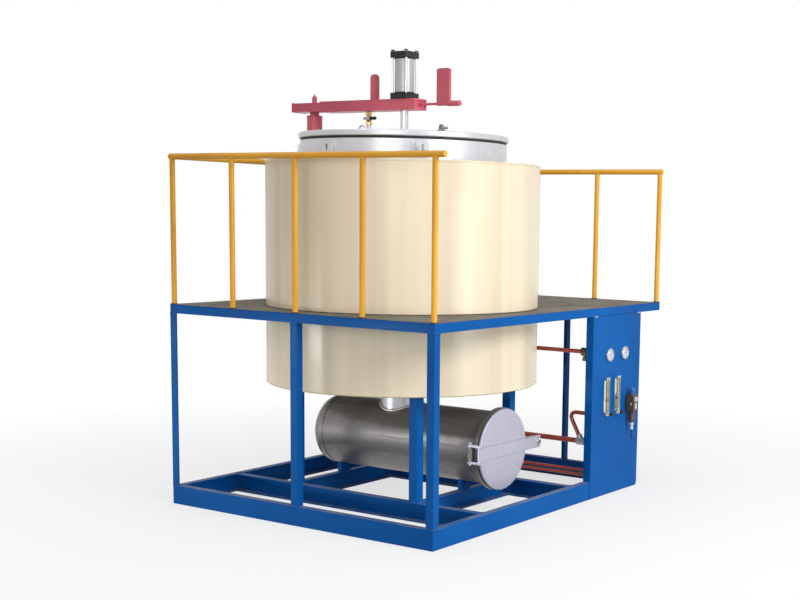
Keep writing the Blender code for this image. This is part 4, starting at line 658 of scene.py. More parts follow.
shellSet = {
    "hem": 0.0035, "hemSteps": 180, "hemInset": 0.001, "lipDrop": 0.0045, "lip": 0.0032,
    "seamTurn": 62, "seamWidth": 0.026, "seamLift": 0.0012, "seamInset": 0.006,
    "rivets": 24, "rivetInset": 0.04,
    "rivet": ((0.0036, -0.001), (0.0036, 0.0002), (0.00288, 0.0012), (0.00144, 0.0018), (0, 0.0020)),
    "screws": 28, "screwAcross": 0.011, "screwHeight": 0.005, "screwInset": 0.022,
    "washer": ((0.009, 0), (0.009, 0.00112), (0.00873, 0.0014)), "washerHeight": 0.0014,
    "collarWeld": 0.004, "collarInset": 0.009, "collarLift": 0.001, "deckGapShade": 0.0045, "deckGapShadeOut": 0.004,
}


def circlePoints(radius, height):
    steps = shellSet["hemSteps"]
    return [onCircle(axis, radius, 2 * math.pi * step / steps, height) for step in range(steps + 1)]


def makeShellTrim():
    trim, lip, grimeAndGapShade, screws, weld = (bmesh.new() for part in range(5))
    inner, outer = shellRadius - shellSet["hemInset"], shellRadius + shellSet["seamLift"]
    for height in (shellLow.z + shellSet["hem"], shellHigh.z - shellSet["hem"]):
        roundBar(trim, circlePoints(inner, height), shellSet["hem"], 10)
    # The lip under the shell's bottom edge takes a dark finish as painted shade along that edge
    roundBar(lip, circlePoints(shellRadius - shellSet["lipDrop"], shellLow.z), shellSet["lip"], 10)
    addPiece("shell_lip_painted_shade", lip, "frame", "aged_brass")
    # A dark bead on the deck round the shell is painted shade in the gap where the shell passes through the
    # deck
    weldRing(grimeAndGapShade, (*axis, deckHigh.z), shellRadius + shellSet["deckGapShadeOut"], shellSet["deckGapShade"])
    addPiece("deck_gap_painted_shade", grimeAndGapShade, "frame", "burnt_weld", sharp=60)

    turnTo = math.radians(shellSet["seamTurn"])
    half = shellSet["seamWidth"] / 2 / shellRadius
    seamLow, seamHigh = shellLow.z + shellSet["seamInset"], shellHigh.z - shellSet["seamInset"]
    rows = []
    for share in (-1, -0.5, 0, 0.5, 1):
        angle = turnTo + half * share
        ring = ((inner, seamLow), (inner, seamHigh), (outer, seamHigh), (outer, seamLow))
        rows.append([trim.verts.new(onCircle(axis, radius, angle, height)) for radius, height in ring])
    joinRings(trim, rows)
    out = (math.cos(turnTo), math.sin(turnTo), 0)
    edge, count = shellSet["rivetInset"], shellSet["rivets"]
    for step in range(count):
        height = shellLow.z + edge + (shellHigh.z - shellLow.z - 2 * edge) * step / (count - 1)
        turned(trim, shellSet["rivet"], onCircle(axis, outer, turnTo, height), out, 14)
    addPiece("shell_trim", trim, "frame", "cream_paint")

    reach = shellRadius - shellSet["screwInset"]
    top = corners("shell_top_plate")[1].z
    for turn in evenTurns(shellSet["screws"]):
        turned(screws, shellSet["washer"], onCircle(axis, reach, turn, top), sides=18)
        spot = onCircle(axis, reach, turn, top + shellSet["washerHeight"])
        hexagon(screws, spot, shellSet["screwAcross"], shellSet["screwHeight"])
    addPiece("top_plate_screws", screws, "frame", "zinc_plate")

    collarFoot = (*axis, top + shellSet["collarLift"])
    weldRing(weld, collarFoot, lidRadius - shellSet["collarInset"], shellSet["collarWeld"])
    addPiece("collar_weld", weld, "frame", "bright_weld", sharp=60)


# Lid top: the raised cover plate with its weld, the rod foot's bolts and two lifting eyes

lidSet = {
    "coverRadius": 0.485, "coverHeight": 0.012, "coverRound": 0.004, "coverWeld": 0.0025, "weldOut": 0.001,
    "roundTurns": (0.5, 1.05, 1.57),
    "eyePlace": 0.40, "eyeRadius": 0.024, "eyeThick": 0.006, "eyeSteps": 20,
    "footBolts": 6, "footBoltCircle": 0.049, "footHeight": 0.028, "boltAcross": 0.017, "boltHeight": 0.010,
    "washer": ((0.0115, 0), (0.0115, 0.0018), (0.011, 0.002)), "washerHeight": 0.002,
}


def makeLidTop():
    cover, bolts = bmesh.new(), bmesh.new()
    radius, height, rounded = lidSet["coverRadius"], lidSet["coverHeight"], lidSet["coverRound"]
    profile = [(0, 0), (radius, 0), (radius, height - rounded)]
    for turn in lidSet["roundTurns"]:
        spot = (radius - rounded * (1 - math.cos(turn)), height - rounded + rounded * math.sin(turn))
        profile.append(spot)
    turned(cover, profile + [(0, height)], (*axis, lidHigh.z), sides=128)
    foot = (*axis, lidHigh.z + lidSet["weldOut"])
    weldRing(cover, foot, radius + lidSet["weldOut"], lidSet["coverWeld"])
    reach, steps = lidSet["eyeRadius"], lidSet["eyeSteps"]
    for side in (-1, 1):
        middle = Vector((axisX + side * lidSet["eyePlace"], axisY, lidHigh.z + height))
        turns = [math.pi * step / steps for step in range(steps + 1)]
        arch = [middle + Vector((0, reach * math.cos(turn), reach * math.sin(turn))) for turn in turns]
        roundBar(cover, arch, lidSet["eyeThick"], 12)
    addPiece("lid_cover", cover, "lid", "stainless")
    footTop = corners("piston_rod")[0].z + lidSet["footHeight"]
    circle = lidSet["footBoltCircle"]
    for turn in evenTurns(lidSet["footBolts"]):
        turned(bolts, lidSet["washer"], onCircle(axis, circle, turn, footTop), sides=20)
        spot = onCircle(axis, circle, turn, footTop + lidSet["washerHeight"])
        hexagon(bolts, spot, lidSet["boltAcross"], lidSet["boltHeight"])
    addPiece("rod_foot_bolts", bolts, "lid", "zinc_plate")


# Column and arm: welds, foot bolts, a grease nipple on the pivot and stitch welds along the arm

armSet = {
    "columnRadius": 0.051, "footHeight": 0.012, "footWeld": 0.0045,
    "footBolts": 4, "footBoltCircle": 0.066, "boltAcross": 0.016, "boltHeight": 0.009,
    "nippleSink": 0.001, "nippleAcross": 0.009, "nippleFoot": 0.004, "nippleLift": 0.003,
    "nipple": ((0.003, 0), (0.003, 0.004), (0.0022, 0.005), (0.0034, 0.007), (0.0028, 0.009), (0, 0.0095)),
    "stitches": 5, "stitchInset": 0.002, "stitchHeights": (0.006, 0.061), "stitchStart": 0.03,
    "stitchPitch": 0.15, "stitchLength": 0.06, "stitchWeld": 0.0028, "plateBack": 0.765,
    "tabPlaces": (0.225, 0.245), "tabReach": 0.031, "tabHeight": 0.0675, "tabWeld": 0.0035,
}


def makeArmDetail():
    columnHigh = corners("pivot_column")[1]
    middle = middleOf("pivot_column")
    welds, bolts, nipple, seams = (bmesh.new() for part in range(4))
    footTop = corners("pivot_column")[0].z + armSet["footHeight"]
    weldRing(welds, (middle.x, middle.y, footTop), armSet["columnRadius"], armSet["footWeld"])
    for turn in evenTurns(armSet["footBolts"]):
        spot = onCircle(middle, armSet["footBoltCircle"], turn, footTop)
        hexagon(bolts, spot, armSet["boltAcross"], armSet["boltHeight"])
    addPiece("column_weld", welds, "frame", "red_paint", sharp=60)
    addPiece("column_bolts", bolts, "frame", "zinc_plate")
    foot = (middle.x, middle.y, columnHigh.z - armSet["nippleSink"])
    hexagon(nipple, foot, armSet["nippleAcross"], armSet["nippleFoot"])
    turned(nipple, armSet["nipple"], (middle.x, middle.y, columnHigh.z + armSet["nippleLift"]), sides=16)
    addPiece("pivot_grease_nipple", nipple, "frame", "red_paint")
    for x in (armLow.x + armSet["stitchInset"], armHigh.x - armSet["stitchInset"]):
        for z in [armLow.z + height for height in armSet["stitchHeights"]]:
            for stitch in range(armSet["stitches"]):
                begin = armLow.y + armSet["stitchStart"] + stitch * armSet["stitchPitch"]
                end = min(begin + armSet["stitchLength"], armLow.y + armSet["plateBack"])
                weldLine(seams, (x, begin, z), (x, end, z), armSet["stitchWeld"])
    reach, z = armSet["tabReach"], armLow.z + armSet["tabHeight"]
    for y in [axisY + place for place in armSet["tabPlaces"]]:
        weldLine(seams, (axisX - reach, y, z), (axisX + reach, y, z), armSet["tabWeld"])
    addPiece("arm_welds", seams, "arm", "red_paint", sharp=60)


# Air cylinder: ports, seal rings, the rod's gland and polished tie rods with their washers and ends

cylinderSet = {
    "headDrop": 0.010, "portDrop": 0.019, "portSink": 0.002, "portAside": 0.012, "portAcross": 0.022,
    "portNut": 0.012,
    "port": ((0.008, 0), (0.008, 0.012), (0.010, 0.013), (0.010, 0.022), (0.007, 0.024), (0, 0.024)),
    "ring": ((0, 0), (0.0016, 0.001), (0.0016, 0.005), (0, 0.006)), "ringHeight": 0.006,
    "gland": ((0.024, 0), (0.026, 0.002), (0.026, 0.005), (0.024, 0.006)), "glandDrop": 0.0065,
    "rodPlace": 0.051, "rod": 0.0064, "rodLift": 0.0005,
    "washer": ((0.0145, -0.0002), (0.0145, 0.0016), (0.0140, 0.0018)),
    "rodEnd": ((0.0052, 0.009), (0.0052, 0.0128), (0.0040, 0.0140), (0, 0.0140)),
}


def makeCylinderDetail():
    headTop = corners("cylinder_head")[1].z - cylinderSet["headDrop"]
    ports, rings, ends, rods = (bmesh.new() for part in range(4))
    edge = corners("cylinder_base")[1].x - cylinderSet["portSink"]
    nut = cylinderSet["portNut"]
    for height in (middleOf("cylinder_base").z, headTop - cylinderSet["portDrop"]):
        start = Vector((edge, axisY - cylinderSet["portAside"], height))
        hexagon(ports, start, cylinderSet["portAcross"], nut, (1, 0, 0))
        turned(ports, cylinderSet["port"], start + Vector((nut, 0, 0)), (1, 0, 0), 20)
    addPiece("cylinder_ports", ports, "arm", "zinc_plate")
    barrelLow, barrelHigh = corners("cylinder_barrel")
    outer = (barrelHigh.x - barrelLow.x) / 2
    profile = [(outer + out, height) for out, height in cylinderSet["ring"]]
    for height in (barrelLow.z, barrelHigh.z - cylinderSet["ringHeight"]):
        turned(rings, profile, (*axis, height), sides=56)
    foot = (*axis, armLow.z - cylinderSet["glandDrop"])
    addTurned("rod_gland", cylinderSet["gland"], foot, "arm", "zinc_plate", "chrome")
    addPiece("cylinder_seal_rings", rings, "arm", "black_rubber")
    place, rod = cylinderSet["rodPlace"], cylinderSet["rod"]
    for x in (axisX - place, axisX + place):
        for y in (axisY - place, axisY + place):
            turned(ends, cylinderSet["washer"], (x, y, headTop), sides=20)
            turned(ends, cylinderSet["rodEnd"], (x, y, headTop), sides=16)
            foot = (x, y, barrelLow.z + cylinderSet["rodLift"])
            turned(rods, ((rod, 0), (rod, barrelHigh.z - barrelLow.z)), foot, sides=20)
    addPiece("tie_rod_ends", ends, "arm", "zinc_plate")
    addPiece("tie_rods_polished", rods, "arm", "chrome")


# Ball valve on the lid, with hexagon ends, a stem and a sleeved lever

purgeSet = {
    "aside": 0.0408, "pipe": 0.0135, "pipeGap": 0.028,
    "foot": ((0.026, 0), (0.026, 0.007), (0.023, 0.010), (0.0145, 0.010)),
    "weldRadius": 0.0145, "weldHeight": 0.011, "weld": 0.002,
    "hexAcross": 0.036, "hexHeight": 0.018, "hexPlaces": (-0.039, 0.021),
    "ball": 0.023, "ballHalf": 0.020, "ballTurns": (-1.0, -0.6, -0.2, 0.2, 0.6, 1.0),
    "neck": (0.015, 0.024), "outlet": (0.0125, 0.0105), "outletStart": 0.034, "outletCut": 0.002,
    "stemSink": 0.002, "stem": ((0.010, 0), (0.010, 0.006), (0.008, 0.008), (0.0065, 0.016)),
    "plateHalf": 0.0022, "plateNut": (0.012, 0.006), "plateEdge": 0.0006,
    "plateHub": ((-0.016, 0.009), (0.009, 0.009), (0.009, -0.009), (-0.016, -0.009)),
    "plateTip": ((0.034, -0.006), (0.030, 0.006)),
    "grip": (
        (0.0066, 0), (0.01045, 0.002), (0.011, 0.006), (0.0099, 0.030), (0.011, 0.044), (0.0077, 0.050),
        (0, 0.052),
    ),
    "gripStart": 0.052,
}


def makePurgeValve():
    low, high = corners("purge_valve")
    lever = middleOf("purge_lever")
    tip = corners("purge_lever")[0].y
    x, y = lever.x + purgeSet["aside"], (low.y + high.y) / 2
    foot, body, plate = (bmesh.new() for part in range(3))
    pipe = purgeSet["pipe"]
    turned(foot, purgeSet["foot"], (x, y, low.z))
    turned(foot, ((pipe, 0), (pipe, lever.z - low.z - purgeSet["pipeGap"])), (x, y, low.z))
    weldRing(foot, (x, y, low.z + purgeSet["weldHeight"]), purgeSet["weldRadius"], purgeSet["weld"])
    addPiece("purge_pipe", foot, "lid", "stainless")
    for place in purgeSet["hexPlaces"]:
        hexagon(body, (x, y, lever.z + place), purgeSet["hexAcross"], purgeSet["hexHeight"])
    ball, half, neck = purgeSet["ball"], purgeSet["ballHalf"], purgeSet["neck"]
    profile = [(neck[0], -neck[1])]
    for turn in purgeSet["ballTurns"]:
        profile.append((ball * math.cos(turn), half * math.sin(turn)))
    turned(body, profile + [neck], (x, y, lever.z), sides=36)
    wide, narrow = purgeSet["outlet"]
    length = high.z - lever.z - purgeSet["outletStart"]
    profile = ((wide, 0), (wide, length - purgeSet["outletCut"]), (narrow, length))
    turned(body, profile, (x, y, lever.z + purgeSet["outletStart"]), sides=24)
    turned(body, purgeSet["stem"], (x - ball + purgeSet["stemSink"], y, lever.z), (-1, 0, 0), 24)
    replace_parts(addPiece("purge_valve_body", body, "lid", "brass"), "purge_valve")
    start = lever.x - purgeSet["plateHalf"]
    outline = [(start, y + along, lever.z + up) for along, up in purgeSet["plateHub"]]
    outline += [(start, tip + along, lever.z + up) for along, up in purgeSet["plateTip"]]
    prism(plate, outline, (2 * purgeSet["plateHalf"], 0, 0))
    hexagon(plate, (start, y, lever.z), *purgeSet["plateNut"], (-1, 0, 0))
    edge = purgeSet["plateEdge"]
    addPiece("purge_lever_plate", plate, "purge_lever", "zinc_plate", bevel=edge)
    spot = (lever.x, tip + purgeSet["gripStart"], lever.z)
    profile = purgeSet["grip"]
    form = {"ahead": (0, -1, 0), "sides": 28, "flutes": 14, "fluteDepth": 0.05}
    grip = addTurned("purge_lever_grip", profile, spot, "purge_lever", "black_rubber", "black_cap", **form)
    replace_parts(grip, "purge_lever")


# Relief valve near the lid's edge

reliefSet = {
    "turn": -119, "reach": 0.5547, "hexAcross": 0.038, "hexHeight": 0.013,
    "body": (
        (0.013, 0.013), (0.013, 0.017), (0.0155, 0.018), (0.0155, 0.029), (0.012, 0.031), (0.012, 0.036),
        (0.010, 0.042), (0, 0.042),
    ),
    "outlet": (
        (0.0068, 0.010), (0.0068, 0.028), (0.0085, 0.029), (0.0085, 0.038), (0.0055, 0.040), (0, 0.036),
    ),
    "outletHeight": 0.023, "bandHeights": (0.0335, 0.0385), "bandRadius": 0.0125, "band": 0.0009,
}


def makeReliefValve():
    foot = corners("relief_valve")[0].z
    turn = math.radians(reliefSet["turn"])
    spot = Vector(onCircle(axis, reliefSet["reach"], turn, foot))
    body = bmesh.new()
    hexagon(body, spot, reliefSet["hexAcross"], reliefSet["hexHeight"])
    turned(body, reliefSet["body"], spot, sides=28)
    out = Vector((-math.sin(turn), math.cos(turn), 0))
    turned(body, reliefSet["outlet"], spot + Vector((0, 0, reliefSet["outletHeight"])), out, 20)
    for height in reliefSet["bandHeights"]:
        weldRing(body, spot + Vector((0, 0, height)), reliefSet["bandRadius"], reliefSet["band"])
    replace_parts(addPiece("relief_valve_body", body, "lid", "dark_steel"), "relief_valve")


# Waste tank: rolled seams and the bright weld at the neck

tankSet = {
    "radius": 0.223, "flangeBack": 0.022, "flangeOut": 0.002, "flangeWeld": 0.004, "dishStart": 1.235,
    "seam": 0.0028, "seamTurn": 128, "neckWeld": 0.009, "neckSteps": 160, "neckShare": 1.01,
    "neckLift": 0.002,
}


def makeTankDetail():
    back = corners("waste_tank")[0].y
    height, radius, out = middleOf("tank_door").z, tankSet["radius"], tankSet["flangeOut"]
    seams, neck = bmesh.new(), bmesh.new()
    flangeBack, dishStart = back + tankSet["flangeBack"], back + tankSet["dishStart"]
    weldRing(seams, (axisX, flangeBack + out, height), radius + out, tankSet["flangeWeld"], (0, 1, 0))
    weldRing(seams, (axisX, dishStart, height), radius, tankSet["seam"], (0, 1, 0))
    turn = math.radians(tankSet["seamTurn"])
    x, z = axisX + radius * math.sin(turn), height + radius * math.cos(turn)
    weldLine(seams, (x, flangeBack, z), (x, dishStart, z), tankSet["seam"])
    addPiece("tank_seams", seams, "frame", "tank_steel", sharp=60)
    neckLow, neckHigh = corners("drain_neck")
    reach, share = (neckHigh.x - neckLow.x) / 2, tankSet["neckShare"]
    points = []
    for step in range(tankSet["neckSteps"] + 1):
        angle = 2 * math.pi * step / tankSet["neckSteps"]
        rise = math.sqrt(radius ** 2 - (reach * math.cos(angle)) ** 2)
        points.append(onCircle(axis, reach * share, angle, height + rise + tankSet["neckLift"]))
    roundBar(neck, points, tankSet["neckWeld"], 10, beadSwell)
    addPiece("neck_weld", neck, "frame", "bright_weld", sharp=60)


# Door: the clamp bar's short welds and the washer under the clamp bolt

doorSet = {
    "barHalf": 0.0375, "weldStarts": (-0.20, -0.06, 0.08, 0.17), "weldLength": 0.05, "weldOut": 0.0015,
    "weld": 0.0028, "washer": ((0.0175, 0), (0.0175, 0.0022), (0.0168, 0.0026)), "washerOut": 0.0002,
}


def makeDoorDetail():
    welds = bmesh.new()
    height, y = middleOf("tank_door").z, corners("tank_door")[0].y - doorSet["weldOut"]
    for start in doorSet["weldStarts"]:
        for z in (height + doorSet["barHalf"], height - doorSet["barHalf"]):
            x = axisX + start
            weldLine(welds, (x, y, z), (x + doorSet["weldLength"], y, z), doorSet["weld"])
    addPiece("clamp_bar_welds", welds, "door", "door_steel", sharp=60)
    bolt = middleOf("clamp_bolt")
    spot = (bolt.x, corners("clamp_bar")[0].y - doorSet["washerOut"], bolt.z)
    form = {"ahead": (0, -1, 0), "sides": 28}
    addTurned("clamp_washer", doorSet["washer"], spot, "door", "zinc_plate", "chrome", **form)


# Gauges: turned case, printed dial, needle and glass, with profiles in shares of the gauge's radius

gaugeSet = {
    "case": (
        (0.96, 0), (0.96, 0.35), (1, 0.42), (1, 0.85), (0.97, 1), (0.90, 1), (0.86, 0.74), (0.86, 0.5),
        (0, 0.5),
    ),
    "dial": ((0.855, 0), (0.855, 0.0006), (0, 0.0006)), "dialAt": 0.52, "faceLift": 0.0007,
    "glass": ((0.87, 0), (0.87, 0.0012), (0.5, 0.0019), (0, 0.0021)), "glassAt": 0.80,
    "start": 225, "sweep": 270, "ticks": 50, "longEvery": 10, "longTick": (0.64, 0.0007),
    "shortTick": (0.71, 0.0003),
    "tickEnd": 0.79, "tickLift": 0.0002, "numbers": (0, 2, 4, 6, 8, 10), "numberAt": 0.50,
    "numberSize": 0.0085, "numberThick": 0.0001,
    "needleAt": 0.0, "needleLift": 0.0012, "needleThick": 0.0006, "tail": (-0.22, 0.0014),
    "tip": (0.62, 0.0004),
    "hub": ((0.0042, 0), (0.0042, 0.0016), (0.0034, 0.0024), (0, 0.0026)), "hubLift": 0.0002,
}


def dialBar(middle, radius, share, ends):
    turn = math.radians(gaugeSet["start"] - gaugeSet["sweep"] * share)
    ahead = Vector((math.cos(turn), 0, math.sin(turn)))
    across = Vector((-math.sin(turn), 0, math.cos(turn)))
    (begin, wide), (end, narrow) = ends
    near, far = middle + ahead * radius * begin, middle + ahead * radius * end
    return near + across * wide, near - across * wide, far - across * narrow, far + across * narrow


def makeGauge(side):
    low, high = corners("gauge_" + side)
    x, z, back = (low.x + high.x) / 2, (low.z + high.z) / 2, high.y
    radius, depth = (high.x - low.x) / 2, high.y - low.y
    form = {"ahead": (0, -1, 0), "sides": 64}
    profile = [(radius * share, depth * rise) for share, rise in gaugeSet["case"]]
    case = addTurned("gauge_case_" + side, profile, (x, back, z), "frame", "chrome", "white_dial", **form)
    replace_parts(case, "gauge_" + side)
    foot = back - depth * gaugeSet["dialAt"]
    profile = [(radius * share, rise) for share, rise in gaugeSet["dial"]]
    addTurned("gauge_dial_" + side, profile, (x, foot, z), "frame", "white_dial", **form)
    marks, needle = bmesh.new(), bmesh.new()
    face = foot - gaugeSet["faceLift"]
    middle = Vector((x, face, z))
    for step in range(gaugeSet["ticks"] + 1):
        begin, wide = gaugeSet["shortTick"] if step % gaugeSet["longEvery"] else gaugeSet["longTick"]
        ends = ((begin, wide), (gaugeSet["tickEnd"], wide))
        prism(marks, dialBar(middle, radius, step / gaugeSet["ticks"], ends), (0, -gaugeSet["tickLift"], 0))
    addPiece("gauge_marks_" + side, marks, "frame", "dark_print")
    for index, number in enumerate(gaugeSet["numbers"]):
        place = ((gaugeSet["numberAt"], 0), (gaugeSet["numberAt"], 0))
        spot = dialBar(middle, radius, index / (len(gaugeSet["numbers"]) - 1), place)[0]
        addNumber("gauge_number_%s_%d" % (side, number), str(number), spot)
    middle.y -= gaugeSet["needleLift"]
    outline = dialBar(middle, radius, gaugeSet["needleAt"], (gaugeSet["tail"], gaugeSet["tip"]))
    prism(needle, outline, (0, -gaugeSet["needleThick"], 0))
    turned(needle, gaugeSet["hub"], (x, face - gaugeSet["hubLift"], z), (0, -1, 0), 24)
    addPiece("gauge_needle_" + side, needle, "frame", "needle_red")
    foot = back - depth * gaugeSet["glassAt"]
    form["sides"] = 48
    profile = [(radius * share, rise) for share, rise in gaugeSet["glass"]]
    addTurned("gauge_glass_" + side, profile, (x, foot, z), "frame", "gauge_glass", "white_dial", **form)


def addNumber(name, words, spot):
    text = bpy.data.curves.new(name, "FONT")
    text.body = words
    text.size = gaugeSet["numberSize"]
    text.align_x = "CENTER"
    text.align_y = "CENTER"
    text.extrude = gaugeSet["numberThick"]
    holder = placed(name, text)
    bpy.context.view_layer.update()
    mesh = bpy.data.meshes.new_from_object(holder)
    bpy.data.objects.remove(holder)
    mesh.transform(Matrix.Translation(spot) @ Matrix.Rotation(math.radians(90), 4, "X"))
    mesh.materials.clear()
    mesh.materials.append(finishes["dark_print"])
    piece = placed(name, mesh)
    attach(piece, "frame")


# Flowmeters: a clear block round a tapered tube, with float, scale, end blocks, a screw and a fluted knob

flowSet = {
    "blockEnds": (0.024, 0.018), "blockEdge": 0.0022, "endGap": 0.0002, "endEdge": 0.002,
    "tubeEnds": (0.030, 0.024), "tubeFoot": 0.0042, "tubeHead": 0.0062, "floatAt": 0.34,
    "float": (
        (0, 0), (0.0045, 0.002), (0.0068, 0.007), (0.0068, 0.010), (0.003, 0.011), (0.003, 0.018), (0, 0.018),
    ),
    "marks": 20, "longEvery": 5, "markEnds": 0.008, "markAside": 0.0075, "longMark": 0.0055,
    "shortMark": 0.003, "markHalf": 0.0004, "markOut": 0.0002, "screwDrop": 0.009,
    "screw": ((0.00608, 0), (0.00608, 0.002), (0.0038, 0.0034), (0, 0.0034)),
    "seat": ((0.0105, 0), (0.0105, 0.0002)),
    "stem": ((0.0085, 0), (0.0085, 0.009), (0.0065, 0.011), (0.0065, 0.014)),
    "gripFoot": ((0.0085, 0.0135), (0.0106, 0.015), (0.011, 0.018)),
    "gripHead": ((0.011, -0.003), (0.0098, 0), (0, 0)),
}


def makeFlowmeter(side):
    low, high = corners("flowmeter_" + side)
    middle = (low + high) / 2
    block, scale, metal, screws = (bmesh.new() for part in range(4))
    foot, head = low.z + flowSet["blockEnds"][0], high.z - flowSet["blockEnds"][1]
    slab(block, (low.x, low.y, foot), (high.x, high.y, head))
    body = addPiece("flow_block_" + side, block, "frame", "clear_plastic", bevel=flowSet["blockEdge"])
    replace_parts(body, "flowmeter_" + side)
    slab(metal, low, (high.x, high.y, foot - flowSet["endGap"]))
    slab(metal, (low.x, low.y, head + flowSet["endGap"]), high)
    addPiece("flow_ends_" + side, metal, "frame", "zinc_plate", bevel=flowSet["endEdge"])
    foot, head = low.z + flowSet["tubeEnds"][0], high.z - flowSet["tubeEnds"][1]
    profile = ((flowSet["tubeFoot"], 0), (flowSet["tubeHead"], head - foot))
    place = (middle.x, middle.y, foot)
    addTurned("flow_tube_" + side, profile, place, "frame", "flow_amber", "clear_plastic", sides=24)
    place = (middle.x, middle.y, foot + (head - foot) * flowSet["floatAt"])
    addTurned("flow_float_" + side, flowSet["float"], place, "frame", "dark_print", "black_cap", sides=24)
    ends, half, out = flowSet["markEnds"], flowSet["markHalf"], flowSet["markOut"]
    x = middle.x + flowSet["markAside"]
    for step in range(flowSet["marks"] + 1):
        z = foot + ends + (head - foot - 2 * ends) * step / flowSet["marks"]
        reach = flowSet["shortMark"] if step % flowSet["longEvery"] else flowSet["longMark"]
        slab(scale, (x, low.y - out, z - half), (x + reach, low.y + out, z + half))
    addPiece("flow_scale_" + side, scale, "frame", "dark_print")
    knobLow, knobHigh = corners("flow_knob_" + side)
    knobZ, length = (knobLow.z + knobHigh.z) / 2, knobHigh.y - knobLow.y
    turned(screws, flowSet["screw"], (middle.x, low.y, high.z - flowSet["screwDrop"]), (0, -1, 0), 20)
    turned(screws, flowSet["seat"], (middle.x, low.y, knobZ), (0, -1, 0), 20)
    addPiece("flow_screws_" + side, screws, "frame", "chrome")
    place = (middle.x, knobHigh.y, knobZ)
    form = {"ahead": (0, -1, 0), "sides": 24}
    addTurned("flow_stem_" + side, flowSet["stem"], place, "flow_knob_" + side, "chrome", "chrome", **form)
    profile = [*flowSet["gripFoot"], *((radius, length + rise) for radius, rise in flowSet["gripHead"])]
    form = {"ahead": (0, -1, 0), "sides": 48, "flutes": 16, "fluteDepth": 0.06}
    grip = addTurned("flow_grip_" + side, profile, place, "flow_knob_" + side, "black_cap", **form)
    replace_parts(grip, "flow_knob_" + side)


# Filter regulator: cast body with a light front plate, side ports, ribbed bowl, drain and knob, whose white
# top cap is a painted highlight

regulatorSet = {
    "bodyHeight": 0.120, "bodyInset": (0.002, 0.003, 0.010), "bodyBack": 0.012, "round": 0.007,
    "mount": (0.025, 0.002, 0.012), "collar": ((0.029, 0), (0.029, 0.005), (0.026, 0.010)),
    "collarDrop": 0.010,
    "lowerCollar": ((0.0285, 0), (0.0285, 0.004), (0.0245, 0.006)), "plateEdge": 0.003, "plateThick": 0.006,
    "upperPlate": (-0.019, 0.022, 0.070, 0.102), "lowerPlate": (-0.012, 0.014, 0.020, 0.060),
    "lowerPlateSink": 0.001,
    "portAcross": 0.024, "portHeight": 0.006, "portSink": 0.004, "portPlace": 0.052,
    "ribs": 5, "ribStart": 0.010, "ribPitch": 0.009,
    "rib": ((0.0205, 0), (0.022, 0.003), (0.022, 0.006), (0.0205, 0.009)),
    "bowlTop": ((0.020, 0), (0.022, 0.004)), "bowlFoot": ((0.018, 0.060), (0.013, 0.0655)), "bowlDrop": 0.005,
    "drain": (
        (0.010, 0), (0.012, 0.003), (0.012, 0.016), (0.0085, 0.020), (0.0085, 0.036), (0.0105, 0.038),
        (0.0105, 0.047), (0.006, 0.050),
    ),
    "drainDrop": 0.0695, "drainLength": 0.050, "tube": (0.004, 0.003),
    "gripFoot": ((0.020, 0), (0.023, 0.003), (0.023, 0.015), (0.0205, 0.017)),
    "gripHead": ((0.0205, -0.006), (0.018, -0.001), (0.012, 0)),
    "cap": ((0.0115, 0), (0.0115, 0.0008), (0.009, 0.0014), (0, 0.0016)), "capSink": 0.001,
}


